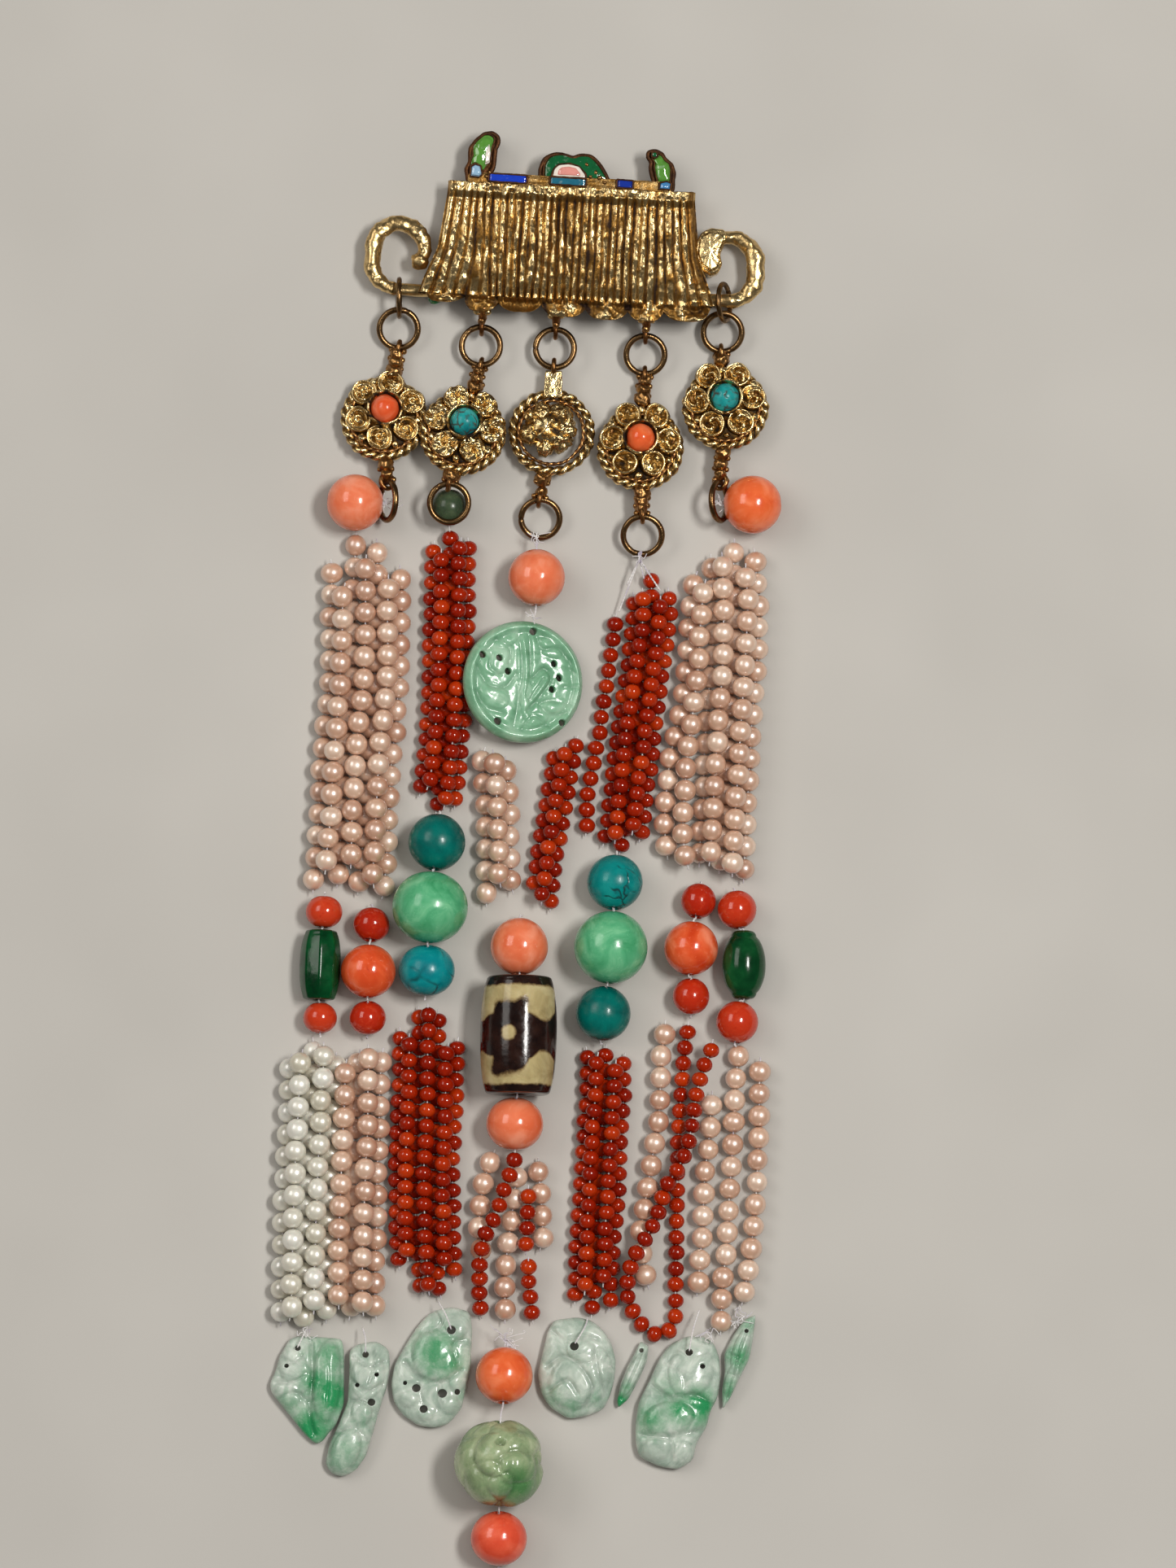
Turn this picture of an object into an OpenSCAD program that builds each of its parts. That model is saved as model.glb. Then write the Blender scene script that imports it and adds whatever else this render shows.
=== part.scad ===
// Chatelaine: a gilt roof plate with five rosettes and tassels of strung beads, laid on its back.
// X runs along the roof's ridge, Y from the lowest bead up to the ridge, Z up from the surface.

/* [Layout] */
// Turn of the laid-out strings that squares the roof's ridge with X, in degrees
layout_turn = 2.9; // [0:0.1:6]
// Shift along X that centres the whole piece
shift_x = -2.15; // [-6:0.1:6]
// Shift along Y that centres the whole piece
shift_y = 0.4; // [-6:0.1:6]

/* [Roof] */
// Width of the roof along its ridge
ridge_w = 33.5; // [26:0.5:40]
// Height of the ridge above the surface
ridge_z = 3.6; // [3:0.1:5]
// Height of the eave above the surface
eave_z = 6.6; // [5:0.1:9]
// Wall of the cast shell
roof_wall = 1.0; // [0.8:0.1:1.4]
// Number of tile ribs across the roof
rib_count = 33; // [21:2:39]
// Width of one tile rib
rib_w = 0.6; // [0.4:0.05:0.8]

/* [Rings] */
// Centre-line radius of a jump ring
ring_r = 2.6; // [2.2:0.1:3.2]
// Wire radius of a jump ring
ring_wire = 0.42; // [0.3:0.02:0.6]
// Centre-line radius of a soldered loop
loop_r = 0.95; // [0.8:0.05:1.2]
// Wire radius of a soldered loop
loop_wire = 0.3; // [0.2:0.02:0.4]

/* [Rosettes] */
// Centre-line radius of the roped rim
rim_r = 5.3; // [4.6:0.1:6]
// Wire radius of the roped rim
rim_wire = 0.6; // [0.4:0.05:0.8]
// Radius of the circle on which the petals stand
petal_ring = 3.8; // [3.4:0.05:3.9]
// Radius of one petal
petal_r = 1.65; // [1.3:0.05:1.7]
// How far the flower and its stone stand up-field of the rim's middle
flower_shift = 1.1; // [0:0.1:1.2]

/* [Beads] */
// Diameter of a pearl
pearl_d = 2.9; // [2.6:0.1:2.9]
// Diameter of a small coral bead
coral_d = 2.25; // [2:0.05:2.25]
// Radius of the hole through a large bead
bore_r = 0.6; // [0.45:0.05:0.8]
// Radius of the thread
thread_r = 0.15; // [0.12:0.01:0.2]
// Clearance between neighbouring strings
string_gap = 0.14; // [0.1:0.02:0.3]

/* [Hidden] */
pearl_r = pearl_d / 2;
coral_r = coral_d / 2;
touch = 0.04;
gilt = [0.72, 0.55, 0.22];
salmon = [0.95, 0.48, 0.33];
red_coral = [0.72, 0.12, 0.06];
peach = [0.93, 0.80, 0.72];
white_pearl = [0.93, 0.92, 0.88];
turquoise = [0.10, 0.55, 0.58];
jade_green = [0.45, 0.78, 0.58];
dark_green = [0.08, 0.35, 0.20];
thread_white = [0.85, 0.85, 0.84];

// Places of the roof's own zero, half way along the top of the tile field
roof_at = [6.8, 88.3, 0];
// Outline of the right half of the tile field, from the ridge to the middle of the eave
roof_half = [[16.75, 0], [17.0, -5], [17.9, -9], [19.0, -11.8], [19.9, -12.7], [20.0, -14.3], [19.2, -15.1],
             [14, -16.1], [7, -16.9], [0, -17.2]];
// Rise of the tile field above the ridge height, as a share, at steps from ridge to eave
roof_rise = [[2, 0], [0, 0], [-4, 0.06], [-8, 0.25], [-11, 0.47], [-13.5, 0.70], [-16, 0.92], [-18, 1.05]];
// Where the tiles end and the scalloped drip edge begins
tiles_end = -14.6;
// Places along the eave of the notches between its scallops
notches = [-13.7, -9.2, -3.2, 2.7, 8.4, 13.3];
// Outlines of the three ridge ornaments, from left to right, and the middles that their enamel is drawn in to
ornaments = [
    [[-14.1, 1.2], [-14.4, 2.9], [-13.9, 3.9], [-14.0, 5.7], [-13.2, 6.9], [-12.2, 7.8], [-11.2, 8.0], [-10.3, 7.5],
     [-10.2, 6.7], [-10.6, 5.8], [-10.7, 3.3], [-11.9, 1.2]],
    [[-4.4, 1.2], [-4.4, 3.6], [-3.8, 4.9], [-2.6, 5.5], [-1.3, 5.5], [-0.1, 5.0], [0.9, 5.5], [2.2, 5.5], [3.2, 4.8],
     [4.0, 3.8], [4.7, 2.6], [5.5, 1.2]],
    [[11.4, 1.2], [10.5, 4.1], [10.6, 5.1], [10.1, 5.6], [10.1, 6.4], [11.0, 6.7], [11.9, 6.3], [12.4, 5.5],
     [13.3, 4.9], [13.7, 3.8], [13.6, 1.2]],
];
ornament_mid = [[-12.2, 4.9], [0.2, 3.5], [12.0, 3.9]];

// Points and paths

function unit(v) = v / norm(v);

function spline_point(a, b, c, d, t) =
    0.5 * (2 * b + (c - a) * t + (2 * a - 5 * b + 4 * c - d) * t * t + (3 * b - a - 3 * c + d) * t * t * t);

// A smooth path through the given points, with the given number of steps between two of them
function smooth(pts, steps) = [
    for (i = [0 : len(pts) - 2])
        for (k = [0 : steps - 1])
            spline_point(pts[max(i - 1, 0)], pts[i], pts[i + 1], pts[min(i + 2, len(pts) - 1)], k / steps),
    pts[len(pts) - 1],
];

function along(pts, i) = unit(pts[min(i + 1, len(pts) - 1)] - pts[max(i - 1, 0)]);

function ring_points(centre, dir, r, sides) =
    let (side = unit(cross(dir, [0, 0, 1])), up = cross(side, dir))
    [for (k = [0 : sides - 1]) centre + r * (cos(360 * (k + 0.5) / sides) * side + sin(360 * (k + 0.5) / sides) * up)];

// A closed round bar along a path
module bar(pts, r, sides = 8) {
    last = len(pts) - 1;
    points = [for (i = [0 : last]) each ring_points(pts[i], along(pts, i), r, sides)];
    walls = [
        for (i = [0 : last - 1])
            for (k = [0 : sides - 1])
                let (n = (k + 1) % sides)
                [i * sides + k, i * sides + n, (i + 1) * sides + n, (i + 1) * sides + k],
    ];
    start_cap = [[for (k = [sides - 1 : -1 : 0]) k]];
    end_cap = [[for (k = [0 : sides - 1]) last * sides + k]];
    polyhedron(points = points, faces = concat(walls, start_cap, end_cap));
}

module laid() {
    translate([shift_x, shift_y, 0])
        rotate([0, 0, layout_turn])
            children();
}

module ring(r, wire) {
    rotate_extrude($fn = 48)
        translate([r, 0])
            circle(wire, $fn = 16);
}

// Strings: a lane is [first y, last y, radius, [[y, x], ...]] of a string that lies on the surface

function lane_x(lane, y) = lookup(y, lane[3]);

function even_lanes(count, pitch, r, first, last, centre) = [
    for (i = [0 : count - 1])
        let (off = (i - (count - 1) / 2) * pitch)
        [first[i], last[i], r, [for (c = centre) [c[0], c[1] + off]]],
];

function steps_between(first, last, r) = max(3, ceil(abs(first - last) / (r * 5)));

function floor_path(lane) =
    let (n = steps_between(lane[0], lane[1], lane[2]))
    [for (i = [0 : n])
        let (y = lane[0] + (lane[1] - lane[0]) * i / n)
        [lane_x(lane, y), y, lane[2] + touch]];

// A string of radius r that rests in the valley between two lanes
function valley_path(a, b, first, last, r) =
    let (n = steps_between(first, last, r))
    [for (i = [0 : n])
        let (y = first + (last - first) * i / n,
             half = (lane_x(b, y) - lane_x(a, y)) / 2,
             reach = a[2] + r + string_gap + 0.03)
        [(lane_x(a, y) + lane_x(b, y)) / 2, y,
         a[2] + touch + sqrt(max(0.01, reach * reach - half * half))]];

module floor_strings(lanes) {
    for (lane = lanes)
        bar(floor_path(lane), lane[2]);
}

// Beads

// A bead with its hole along Y, w across and l along the hole, tipped by pitch and resting on the surface
module bead(x, y, w, l, pitch = 0, yaw = 0, lift = 0) {
    laid()
        translate([x, y, w / 2 + touch + lift])
            rotate([pitch, 0, yaw])
                rotate([90, 0, 0])
                    round_bead(w, l);
}

module round_bead(w, l) {
    difference() {
        rotate_extrude($fn = 64)
            intersection() {
                translate([(w - l) / 2, 0])
                    circle(l / 2, $fn = 64);
                translate([0, -l])
                    square([w, 2 * l]);
            }
        cylinder(r = bore_r, h = 2 * l, center = true, $fn = 24);
    }
}

// A barrel with a bulging wall and rounded ends
module barrel_bead(w, l, end_w) {
    half = [[0, 0], [end_w / 2 - 0.5, 0], [end_w / 2, 0.5], [w / 2 - 0.12, l * 0.22], [w / 2, l / 2]];
    difference() {
        translate([0, 0, -l / 2])
            rotate_extrude($fn = 64)
                polygon(concat(half, [for (i = [len(half) - 2 : -1 : 0]) [half[i][0], l - half[i][1]]]));
        cylinder(r = bore_r, h = 2 * l, center = true, $fn = 24);
    }
}

module lying_barrel(x, y, w, l, end_w, yaw = 0) {
    laid()
        translate([x, y, w / 2 + touch])
            rotate([0, 0, yaw])
                rotate([90, 0, 0])
                    barrel_bead(w, l, end_w);
}

// Roof plate

module on_roof() {
    laid()
        translate(roof_at)
            rotate([0, 0, -layout_turn])
                children();
}

function roof_z(y) = ridge_z + (eave_z - ridge_z) * lookup(-y, [for (p = roof_rise) [-p[0], p[1]]]);

function whole_outline(half) = concat(half, [for (i = [len(half) - 2 : -1 : 0]) [-half[i][0], half[i][1]]]);

// A slab that follows the slope, from z = low to the slope raised by up
module slope_slab(up, low, wide) {
    translate([-wide / 2, 0, 0])
        rotate([90, 0, 90])
            linear_extrude(height = wide)
                polygon(concat([[roof_rise[len(roof_rise) - 1][0], low], [2, low]],
                               [for (p = roof_rise) [p[0], roof_z(p[0]) + up]]));
}

module roof_shell() {
    difference() {
        intersection() {
            slope_slab(0, 0.4, 50);
            translate([0, 0, -1])
                linear_extrude(height = 14)
                    polygon(whole_outline(roof_half));
        }
        intersection() {
            slope_slab(-roof_wall, -1, 50);
            translate([0, 0, -1])
                linear_extrude(height = 14)
                    polygon([[-15.7, -1], [15.7, -1], [16.0, -5.2], [16.9, -9.2], [17.6, -11.5], [17.4, -20],
                             [-17.4, -20], [-17.6, -11.5], [-16.9, -9.2], [-16.0, -5.2]]);
        }
        for (x = notches)
            translate([x, eave_y(x) - 0.3, 0])
                cylinder(r = 1.0, h = 14, $fn = 32);
    }
}

function eave_y(x) = lookup(abs(x), [[0, -17.2], [7, -16.9], [14, -16.1], [19.2, -15.1]]);

// Spread of the outer ribs towards the corners
function rib_x(u, y) = u + sign(u) * max(0, abs(u) - 11) / 5.3 * lookup(-y, [[0, 0], [8, 0.9], [12, 2.3], [18, 4.0]]);

module tile_ribs() {
    intersection() {
        difference() {
            slope_slab(0.45, 0.6, 50);
            slope_slab(-0.3, 0, 52);
        }
        linear_extrude(height = 14)
            intersection() {
                polygon(whole_outline(roof_half));
                union()
                    for (i = [0 : rib_count - 1])
                        let (u = (i - (rib_count - 1) / 2) * (ridge_w - 1.3) / (rib_count - 1), h = rib_w / 2,
                             rows = [-0.2, -8, -12, tiles_end])
                        polygon(concat([for (y = rows) [rib_x(u, y) - h, y]],
                                       [for (k = [3 : -1 : 0]) [rib_x(u, rows[k]) + h, rows[k]]]));
            }
    }
}

// Thick round ends of the tiles above the drip edge
module tile_ends() {
    half_n = (rib_count - 1) / 2;
    for (i = [-half_n : half_n])
        translate([rib_x(i * (ridge_w - 1.3) / (rib_count - 1), tiles_end), tiles_end, roof_z(tiles_end) - 0.05])
            rotate([90, 0, 0])
                cylinder(r = 0.52, h = 0.9, center = true, $fn = 16);
}

module ridge_bar() {
    translate([-ridge_w / 2, -0.3, 0.4])
        cube([ridge_w, 1.6, ridge_z + 0.5]);
    translate([-14.2, 1.1, 0])
        cube([27.8, 1.4, ridge_z + 0.9]);
    linear_extrude(height = ridge_z + 0.75)
        for (shape = ornaments)
            polygon(shape);
}

// One corner scroll, drawn for the right side: its middle, radius, length of its straight sides
module scroll(at, r, straight) {
    translate([at[0], at[1], 3.1]) {
        translate([0, straight / 2, 0])
            rotate_extrude(angle = 180, $fn = 64)
                translate([r, 0])
                    circle(0.9, $fn = 24);
        translate([r, straight / 2, 0])
            rotate([90, 0, 0])
                cylinder(r = 0.9, h = straight, $fn = 24);
        translate([0, -straight / 2, 0])
            rotate([0, 0, -90])
                rotate_extrude(angle = 90, $fn = 64)
                    translate([r, 0])
                        circle(0.9, $fn = 24);
        translate([0, -straight / 2 - r, 0])
            rotate([0, -90, 0])
                cylinder(r = 0.9, h = at[0] - 19.2, $fn = 24);
    }
}

// Curled blunt end of the left scroll and broad leaf end of the right one
module scroll_ends() {
    translate([-19.45, -7.9, 3.1])
        rotate([90, 0, -12])
            cylinder(r = 0.8, h = 1.6, $fn = 24);
    translate([-19.8, -9.6, 3.1])
        sphere(1.15, $fn = 24);
    translate([0, 0, 2.3])
        linear_extrude(height = 2.0)
            polygon([[17.2, -6.0], [17.7, -4.9], [19.0, -3.9], [20.0, -3.8], [20.6, -4.6], [19.7, -6.2], [20.5, -8.9],
                     [19.3, -10.0], [18.2, -9.0], [17.5, -7.4]]);
}

// Soldered loop under the eave, its hole along X
module eave_loop(x) {
    translate([x, -18.3, 2.6])
        rotate([0, 90, 0])
            ring(loop_r + 0.1, loop_wire);
    translate([x, -17.9, 3.6])
        rotate([-42, 0, 0])
            cylinder(r = 0.42, h = 3.2, $fn = 16);
}

module roof_plate() {
    color(gilt)
        on_roof() {
            roof_shell();
            tile_ribs();
            tile_ends();
            ridge_bar();
            scroll([21.9, -8.9], 3.5, 1.7);
            mirror([1, 0, 0])
                scroll([22.95, -9.4], 3.5, 1.95);
            scroll_ends();
            for (x = [-11.2, -1.2, 11.0])
                eave_loop(x);
        }
}

module ridge_enamel() {
    top = ridge_z + 1.0;
    color([0.10, 0.25, 0.75])
        on_roof() {
            for (f = [[-11.2, 5.0], [-2.9, 4.7], [6.1, 2.1]])
                translate([f[0], 1.25, top - 0.05])
                    cube([f[1], 1.15, 0.35]);
            for (i = [0 : 2])
                translate([0, 0, top - 0.2])
                    linear_extrude(height = 0.6)
                        intersection() {
                            translate(ornament_mid[i])
                                scale([0.74, 0.78])
                                    translate(-ornament_mid[i])
                                        polygon(ornaments[i]);
                            translate([-20, 2.6])
                                square([40, 8]);
                        }
        }
}

// Hidden pin across the hollow back, held by a small block at each end
module back_pin() {
    color([0.62, 0.48, 0.22])
        on_roof() {
            translate([0, -7, 1.1])
                rotate([0, 90, 0])
                    cylinder(r = 0.45, h = 24, center = true, $fn = 24);
            for (x = [-11, 11])
                translate([x - 1, -8, 0.5])
                    cube([2, 2, 2.1]);
        }
}

// Rings

// A ring at a place, tipped about X and then rolled about Y
module placed_ring(at, tip, roll, r = ring_r, wire = ring_wire) {
    laid()
        translate(at)
            rotate([0, roll, 0])
                rotate([tip, 0, 0])
                    ring(r, wire);
}

// One row: x, y, z of the centre, tip, roll
upper_ring_rows = [
    [-16.6, 70.35, 1.95, 14, 0], [-5.45, 67.92, 2.42, 4, 0], [4.55, 67.6, 2.5, 2, 0],
    [16.8, 66.8, 1.98, 14, 0], [27.25, 69.86, 1.98, 14, 0],
];
lower_ring_rows = [
    [-18.0, 46.7, 3.3, 0, -65], [-9.7, 46.2, 4.98, 9, 0], [2.6, 44.5, 1.6, 18, 0],
    [16.4, 42.1, 2.6, 18, 0], [26.8, 46.64, 3.3, 0, 65],
];

module upper_rings() {
    color(gilt) {
        for (r = upper_ring_rows)
            placed_ring([r[0], r[1], r[2]], r[3], r[4]);
        placed_ring([-16.5, 74.43, 3.0], 0, 90, 2.5, 0.35);
        placed_ring([27.45, 73.8, 3.0], 0, 71, 2.5, 0.35);
    }
}

module lower_rings() {
    color(gilt)
        for (r = lower_ring_rows)
            placed_ring([r[0], r[1], r[2]], r[3], r[4]);
}

// Rosettes

// One row: x, y, z, turn, tilt, reach to the upper loop, reach to the lower loop, swing and roll of the lower loop
rosette_rows = [
    [-18.6, 57.9, 1.75, -11.4, 6, 10.1, 8.7, 14.7, 60],
    [-7.9, 55.7, 3.41, -14, 10.5, 9.9, 7.3, 0, 0],
    [4.1, 56.1, 3.0, -2, 0, 9.0, 9.2, 8, 0],
    [16.1, 53.9, 1.85, -3.3, 6, 10.3, 9.3, 5, 0],
    [27.6, 59.4, 1.6, 3.7, 6, 7.8, 10.25, -7.6, -60],
];

module at_rosette(n) {
    p = rosette_rows[n - 1];
    laid()
        translate([p[0], p[1], p[2]])
            rotate([-p[4], 0, 0])
                rotate([0, 0, p[3]])
                    children();
}

// A stem of three small balls ending in a loop, at the given reach along Y
module loop_stem(reach, roll) {
    for (k = [0 : 2])
        let (d = rim_r + 0.3 + (reach - loop_r - rim_r - 0.5) * k / 2)
        translate([0, d, 0.6])
            sphere(0.72 - 0.06 * k, $fn = 20);
    translate([0, rim_r, 0.6])
        rotate([-90, 0, 0])
            cylinder(r = 0.4, h = reach - loop_r - rim_r, $fn = 16);
    translate([0, reach, 0.6])
        rotate([0, 90 + roll, 0])
            ring(loop_r, loop_wire);
}

module flower(open_cup, phase) {
    translate([0, 0, 0.1])
        cylinder(r = 2.85, h = 1.3, $fn = 48);
    for (k = [0 : 5])
        rotate([0, 0, 60 * k + phase])
            translate([petal_ring, 0, 0.55]) {
                cylinder(r = petal_r, h = 0.9, $fn = 32);
                translate([0, 0, 0.35])
                    sphere(0.85, $fn = 20);
            }
    difference() {
        translate([0, 0, 1.2])
            cylinder(r = 2.5, h = 1.7, $fn = 48);
        if (open_cup)
            translate([0, 0, 1.9])
                cylinder(r = 2.05, h = 2, $fn = 48);
    }
}

module rosette(n) {
    p = rosette_rows[n - 1];
    color(gilt)
        at_rosette(n) {
            translate([0, 0, 0.6])
                ring(rim_r, rim_wire);
            translate([0, 0, 0.3])
                cylinder(r = rim_r - 0.2, h = 0.5, $fn = 48);
            translate([0, flower_shift, 0])
                flower(true, n == 1 ? 30 : 0);
            loop_stem(p[5], 0);
            rotate([0, 0, 180 + p[7]])
                loop_stem(p[6], p[8]);
        }
}

// The middle rosette lies face down, with a flat strap in place of the upper stem
module rosette_3() {
    p = rosette_rows[2];
    color(gilt)
        at_rosette(3)
            rotate([0, 180, 0]) {
                translate([0, 0, 0.6])
                    ring(rim_r, rim_wire);
                flower(false, 0);
                translate([0, 0, 0.3])
                    sphere(1.9, $fn = 40);
                translate([-1.2, rim_r - 0.4, 0.3])
                    cube([2.4, p[5] - loop_r - rim_r + 0.3, 0.6]);
                translate([0, p[5], 0.6])
                    rotate([0, 90, 0])
                        ring(loop_r, loop_wire);
                rotate([0, 0, 180 + p[7]])
                    loop_stem(p[6], p[8]);
            }
}

module cabochon(n, shade) {
    color(shade)
        at_rosette(n)
            translate([0, flower_shift, 0])
                intersection() {
                    translate([0, 0, 2.3])
                        sphere(1.92, $fn = 40);
                    translate([-3, -3, 2.0])
                        cube([6, 6, 4]);
                }
}

// Bead columns: one row of a bead is x, y, across, along, pitch, yaw

column_a_left = [[-26.5, -9.0, 5.0, 4.3, 0, -4], [-27.0, -16.2, 5.5, 9.4, 0, -2], [-27.0, -23.3, 4.6, 4.2, 0, 0]];
column_a_right = [[-20.1, -10.7, 5.0, 4.6, -12, -4], [-20.5, -17.1, 7.4, 7.2, 0, -2],
                  [-20.6, -23.3, 5.0, 4.5, 12, -1]];
column_b = [[-11.3, 0.3, 7.7, 7.7, -9, -6], [-12.2, -8.6, 10.2, 9.6, 0, -4], [-12.65, -17.0, 7.6, 6.7, 12, -3]];
column_c = [[-0.2, -13.8, 7.8, 7.8, -10, 0], [-0.3, -25.9, 10.3, 15.8, 0, -1], [-0.8, -37.7, 7.7, 7.0, 10, -2]];
column_d = [[12.65, -5.1, 7.5, 7.5, -9, -4], [12.1, -14.0, 9.9, 9.8, 0, -5], [11.1, -22.8, 7.4, 7.4, 9, -6]];
column_e_left = [[23.9, -7.5, 4.8, 4.8, -10, -9], [22.9, -14.0, 7.3, 7.3, 0, -5], [22.9, -20.4, 5.0, 5.0, 10, 0]];
column_e_right = [[29.1, -8.7, 5.3, 5.3, 0, 7], [30.0, -16.2, 5.9, 9.2, 0, 0], [29.1, -23.9, 5.7, 5.7, 0, -7]];
column_end = [[-2.2, -71.5, 7.7, 7.7, -12, -2], [-2.75, -83.4, 12.3, 12.3, 8, -1], [-2.9, -93.3, 7.6, 7.3, 16, 0]];

module column_bead(b) {
    bead(b[0], b[1], b[2], b[3], b[4], b[5]);
}

function bead_centre(b) = [b[0], b[1], b[2] / 2 + touch];

function bead_axis(b) = [-sin(b[5]) * cos(b[4]), cos(b[5]) * cos(b[4]), sin(b[4])];

// Mouth of a bead's hole: side 1 is the upper end, side -1 the lower
function mouth(b, side) = bead_centre(b) + side * b[3] / 2 * bead_axis(b);

// Thread between two beads: half way where they nearly touch, else from mouth to mouth
function between(a, b) =
    let (p = mouth(a, -1), q = mouth(b, 1))
    norm(p - q) < 1.2 ? [(p + q) / 2] : [p, q];

// Thread through the three beads of a column
function column_thread(c, start, end) = concat(
    [start, mouth(c[0], 1), bead_centre(c[0])], between(c[0], c[1]), [bead_centre(c[1])],
    between(c[1], c[2]), [bead_centre(c[2]), mouth(c[2], -1), end]);

module thread(pts) {
    bar(pts, thread_r, 6);
}

// A few short threads that spread from a knot
module fan(knot, ends) {
    for (e = ends)
        thread([knot + 0.25 * unit(e - knot), knot + 0.6 * (e - knot), e]);
}

// Jade disc

module jade_disc() {
    color([0.62, 0.80, 0.68])
        laid()
            translate([0.3, 22.1, 3.3])
                rotate([0, 14, 0])
                    difference() {
                        union() {
                            translate([0, 0, -1.2])
                                cylinder(r = 8.1, h = 2.3, $fn = 96);
                            translate([0, 0, 1.0])
                                rotate_extrude($fn = 96)
                                    translate([7.55, 0])
                                        circle(0.5, $fn = 24);
                            translate([-0.6, -6.4, 0])
                                rotate([0, 0, 4])
                                    cube([1.4, 12.6, 1.45]);
                            for (leaf = [[2.6, 0.4, 55], [2.2, -3.6, 40], [-3.4, -2.6, 120], [4.4, -1.6, 20]])
                                translate([leaf[0], leaf[1], 1.0])
                                    rotate([0, 0, leaf[2]])
                                        translate([-1.9, -0.5, 0])
                                            cube([3.8, 1.0, 0.45]);
                        }
                        for (h = [[1.2, 6.8], [-5.8, 3.5], [-3.5, 3.1], [-2.3, 1.3], [4.1, 2.5], [4.8, 0.6],
                                  [3.8, -1.0], [-3.7, -5.5], [5.2, -5.5]])
                            translate([h[0], h[1], 0])
                                cylinder(r = 0.55, h = 8, center = true, $fn = 20);
                    }
}

// Carved pendants: a thick outline with a raised middle, cut through where pierced

module carved(at, thick, outline, inner, holes) {
    laid()
        translate([at[0], at[1], 0.1])
            difference() {
                union() {
                    linear_extrude(height = thick)
                        polygon(outline);
                    linear_extrude(height = thick + 0.8)
                        polygon(inner);
                }
                for (h = holes)
                    translate([h[0], h[1], 0])
                        cylinder(r = h[2], h = 20, center = true, $fn = 20);
            }
}

module pendant_a_leaf() {
    color([0.70, 0.82, 0.75])
        carved([-28.7, -73.3], 2.6,
               [[-2.3, 6.9], [-0.8, 7.3], [4.7, 6.9], [5.0, 5.4], [5.0, -2.0], [3.9, -4.8], [2.8, -5.9], [2.2, -6.9],
                [1.2, -7.3], [-0.3, -5.9], [-1.9, -3.9], [-4.8, -0.3], [-5.0, 0.8], [-4.1, 2.8], [-3.7, 4.5]],
               [[0.2, 6.6], [4.5, 6.6], [4.7, -1.8], [2.8, -5.2], [1.6, -5.4], [0.2, -1.0]],
               [[-1.2, 5.6, 0.4]]);
}

module pendant_a_gourd() {
    color([0.80, 0.88, 0.82])
        carved([-21.9, -75.9], 3.0,
               [[-1.1, 7.9], [-0.2, 8.7], [2.5, 9.2], [4.2, 8.1], [4.4, 5.8], [3.9, 2.8], [3.0, 0], [2.0, -3.5],
                [1.2, -6.2], [-0.2, -8.2], [-2.1, -9.1], [-3.6, -8.5], [-4.3, -7.3], [-3.8, -4.8], [-2.6, -2.2],
                [-1.3, 1.0], [-1.1, 5]],
               [[0.2, 7.4], [2.8, 8.0], [3.4, 4.0], [1.2, -3.0], [-1.8, -7.6], [-3.2, -7.0], [-1.2, -1.5]],
               [[1.1, 7.3, 0.45], [1.9, 0.9, 0.5]]);
}

module pendant_b_fruit() {
    color([0.78, 0.86, 0.80])
        carved([-11.9, -70.2], 2.8,
               [[-0.8, 6.8], [0.4, 7.6], [2.6, 8.1], [5.1, 7.4], [5.4, 5.0], [5.2, 0], [4.3, -4.0], [4.0, -5.6],
                [2.2, -7.7], [0.2, -8.2], [-1.8, -7.9], [-4.0, -6.4], [-5.2, -4.5], [-5.5, -2.2], [-5.0, 0.4],
                [-3.4, 3.2], [-2.0, 5.4]],
               [[-1.6, 4.6], [1.0, 5.6], [4.0, 2.2], [3.4, -1.6], [-1.4, -1.6], [-3.0, 1.2]],
               [[2.6, 4.9, 0.6], [-2.1, -2.9, 0.55], [1.4, -3.6, 0.6], [-1.1, -5.7, 0.55]]);
}

module pendant_d_shell() {
    color([0.82, 0.84, 0.84])
        carved([7.4, -70.8], 3.0,
               [[-2.0, 7.0], [0.2, 7.3], [2.2, 6.8], [3.7, 5.5], [4.8, 3.7], [5.4, 1.5], [5.2, -1.1], [4.6, -3.3],
                [3.7, -5.1], [1.5, -6.0], [-0.9, -6.4], [-3.4, -4.9], [-4.7, -2.9], [-5.1, -0.3], [-4.4, 2.8],
                [-3.8, 5.4], [-2.9, 6.9]],
               [[-1.8, 5.0], [1.6, 5.0], [4.2, 1.0], [3.4, -3.0], [-0.6, -4.8], [-3.6, -2.0], [-3.4, 2.4]],
               [[-0.2, 3.3, 0.6]]);
}

module pendant_e_blade() {
    color([0.85, 0.90, 0.86])
        carved([15.3, -71.1], 2.4,
               [[0.8, 4.4], [1.9, 3.8], [1.7, 1.8], [0.6, -0.8], [-0.9, -3.5], [-2.2, -4.6], [-2.4, -3.7],
                [-1.9, -1.3], [-1.0, 0.9], [0.0, 2.8]],
               [[0.7, 3.2], [0.9, 1.6], [-1.0, -2.2], [-1.6, -1.4]],
               [[0.9, 3.1, 0.3]]);
}

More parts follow.
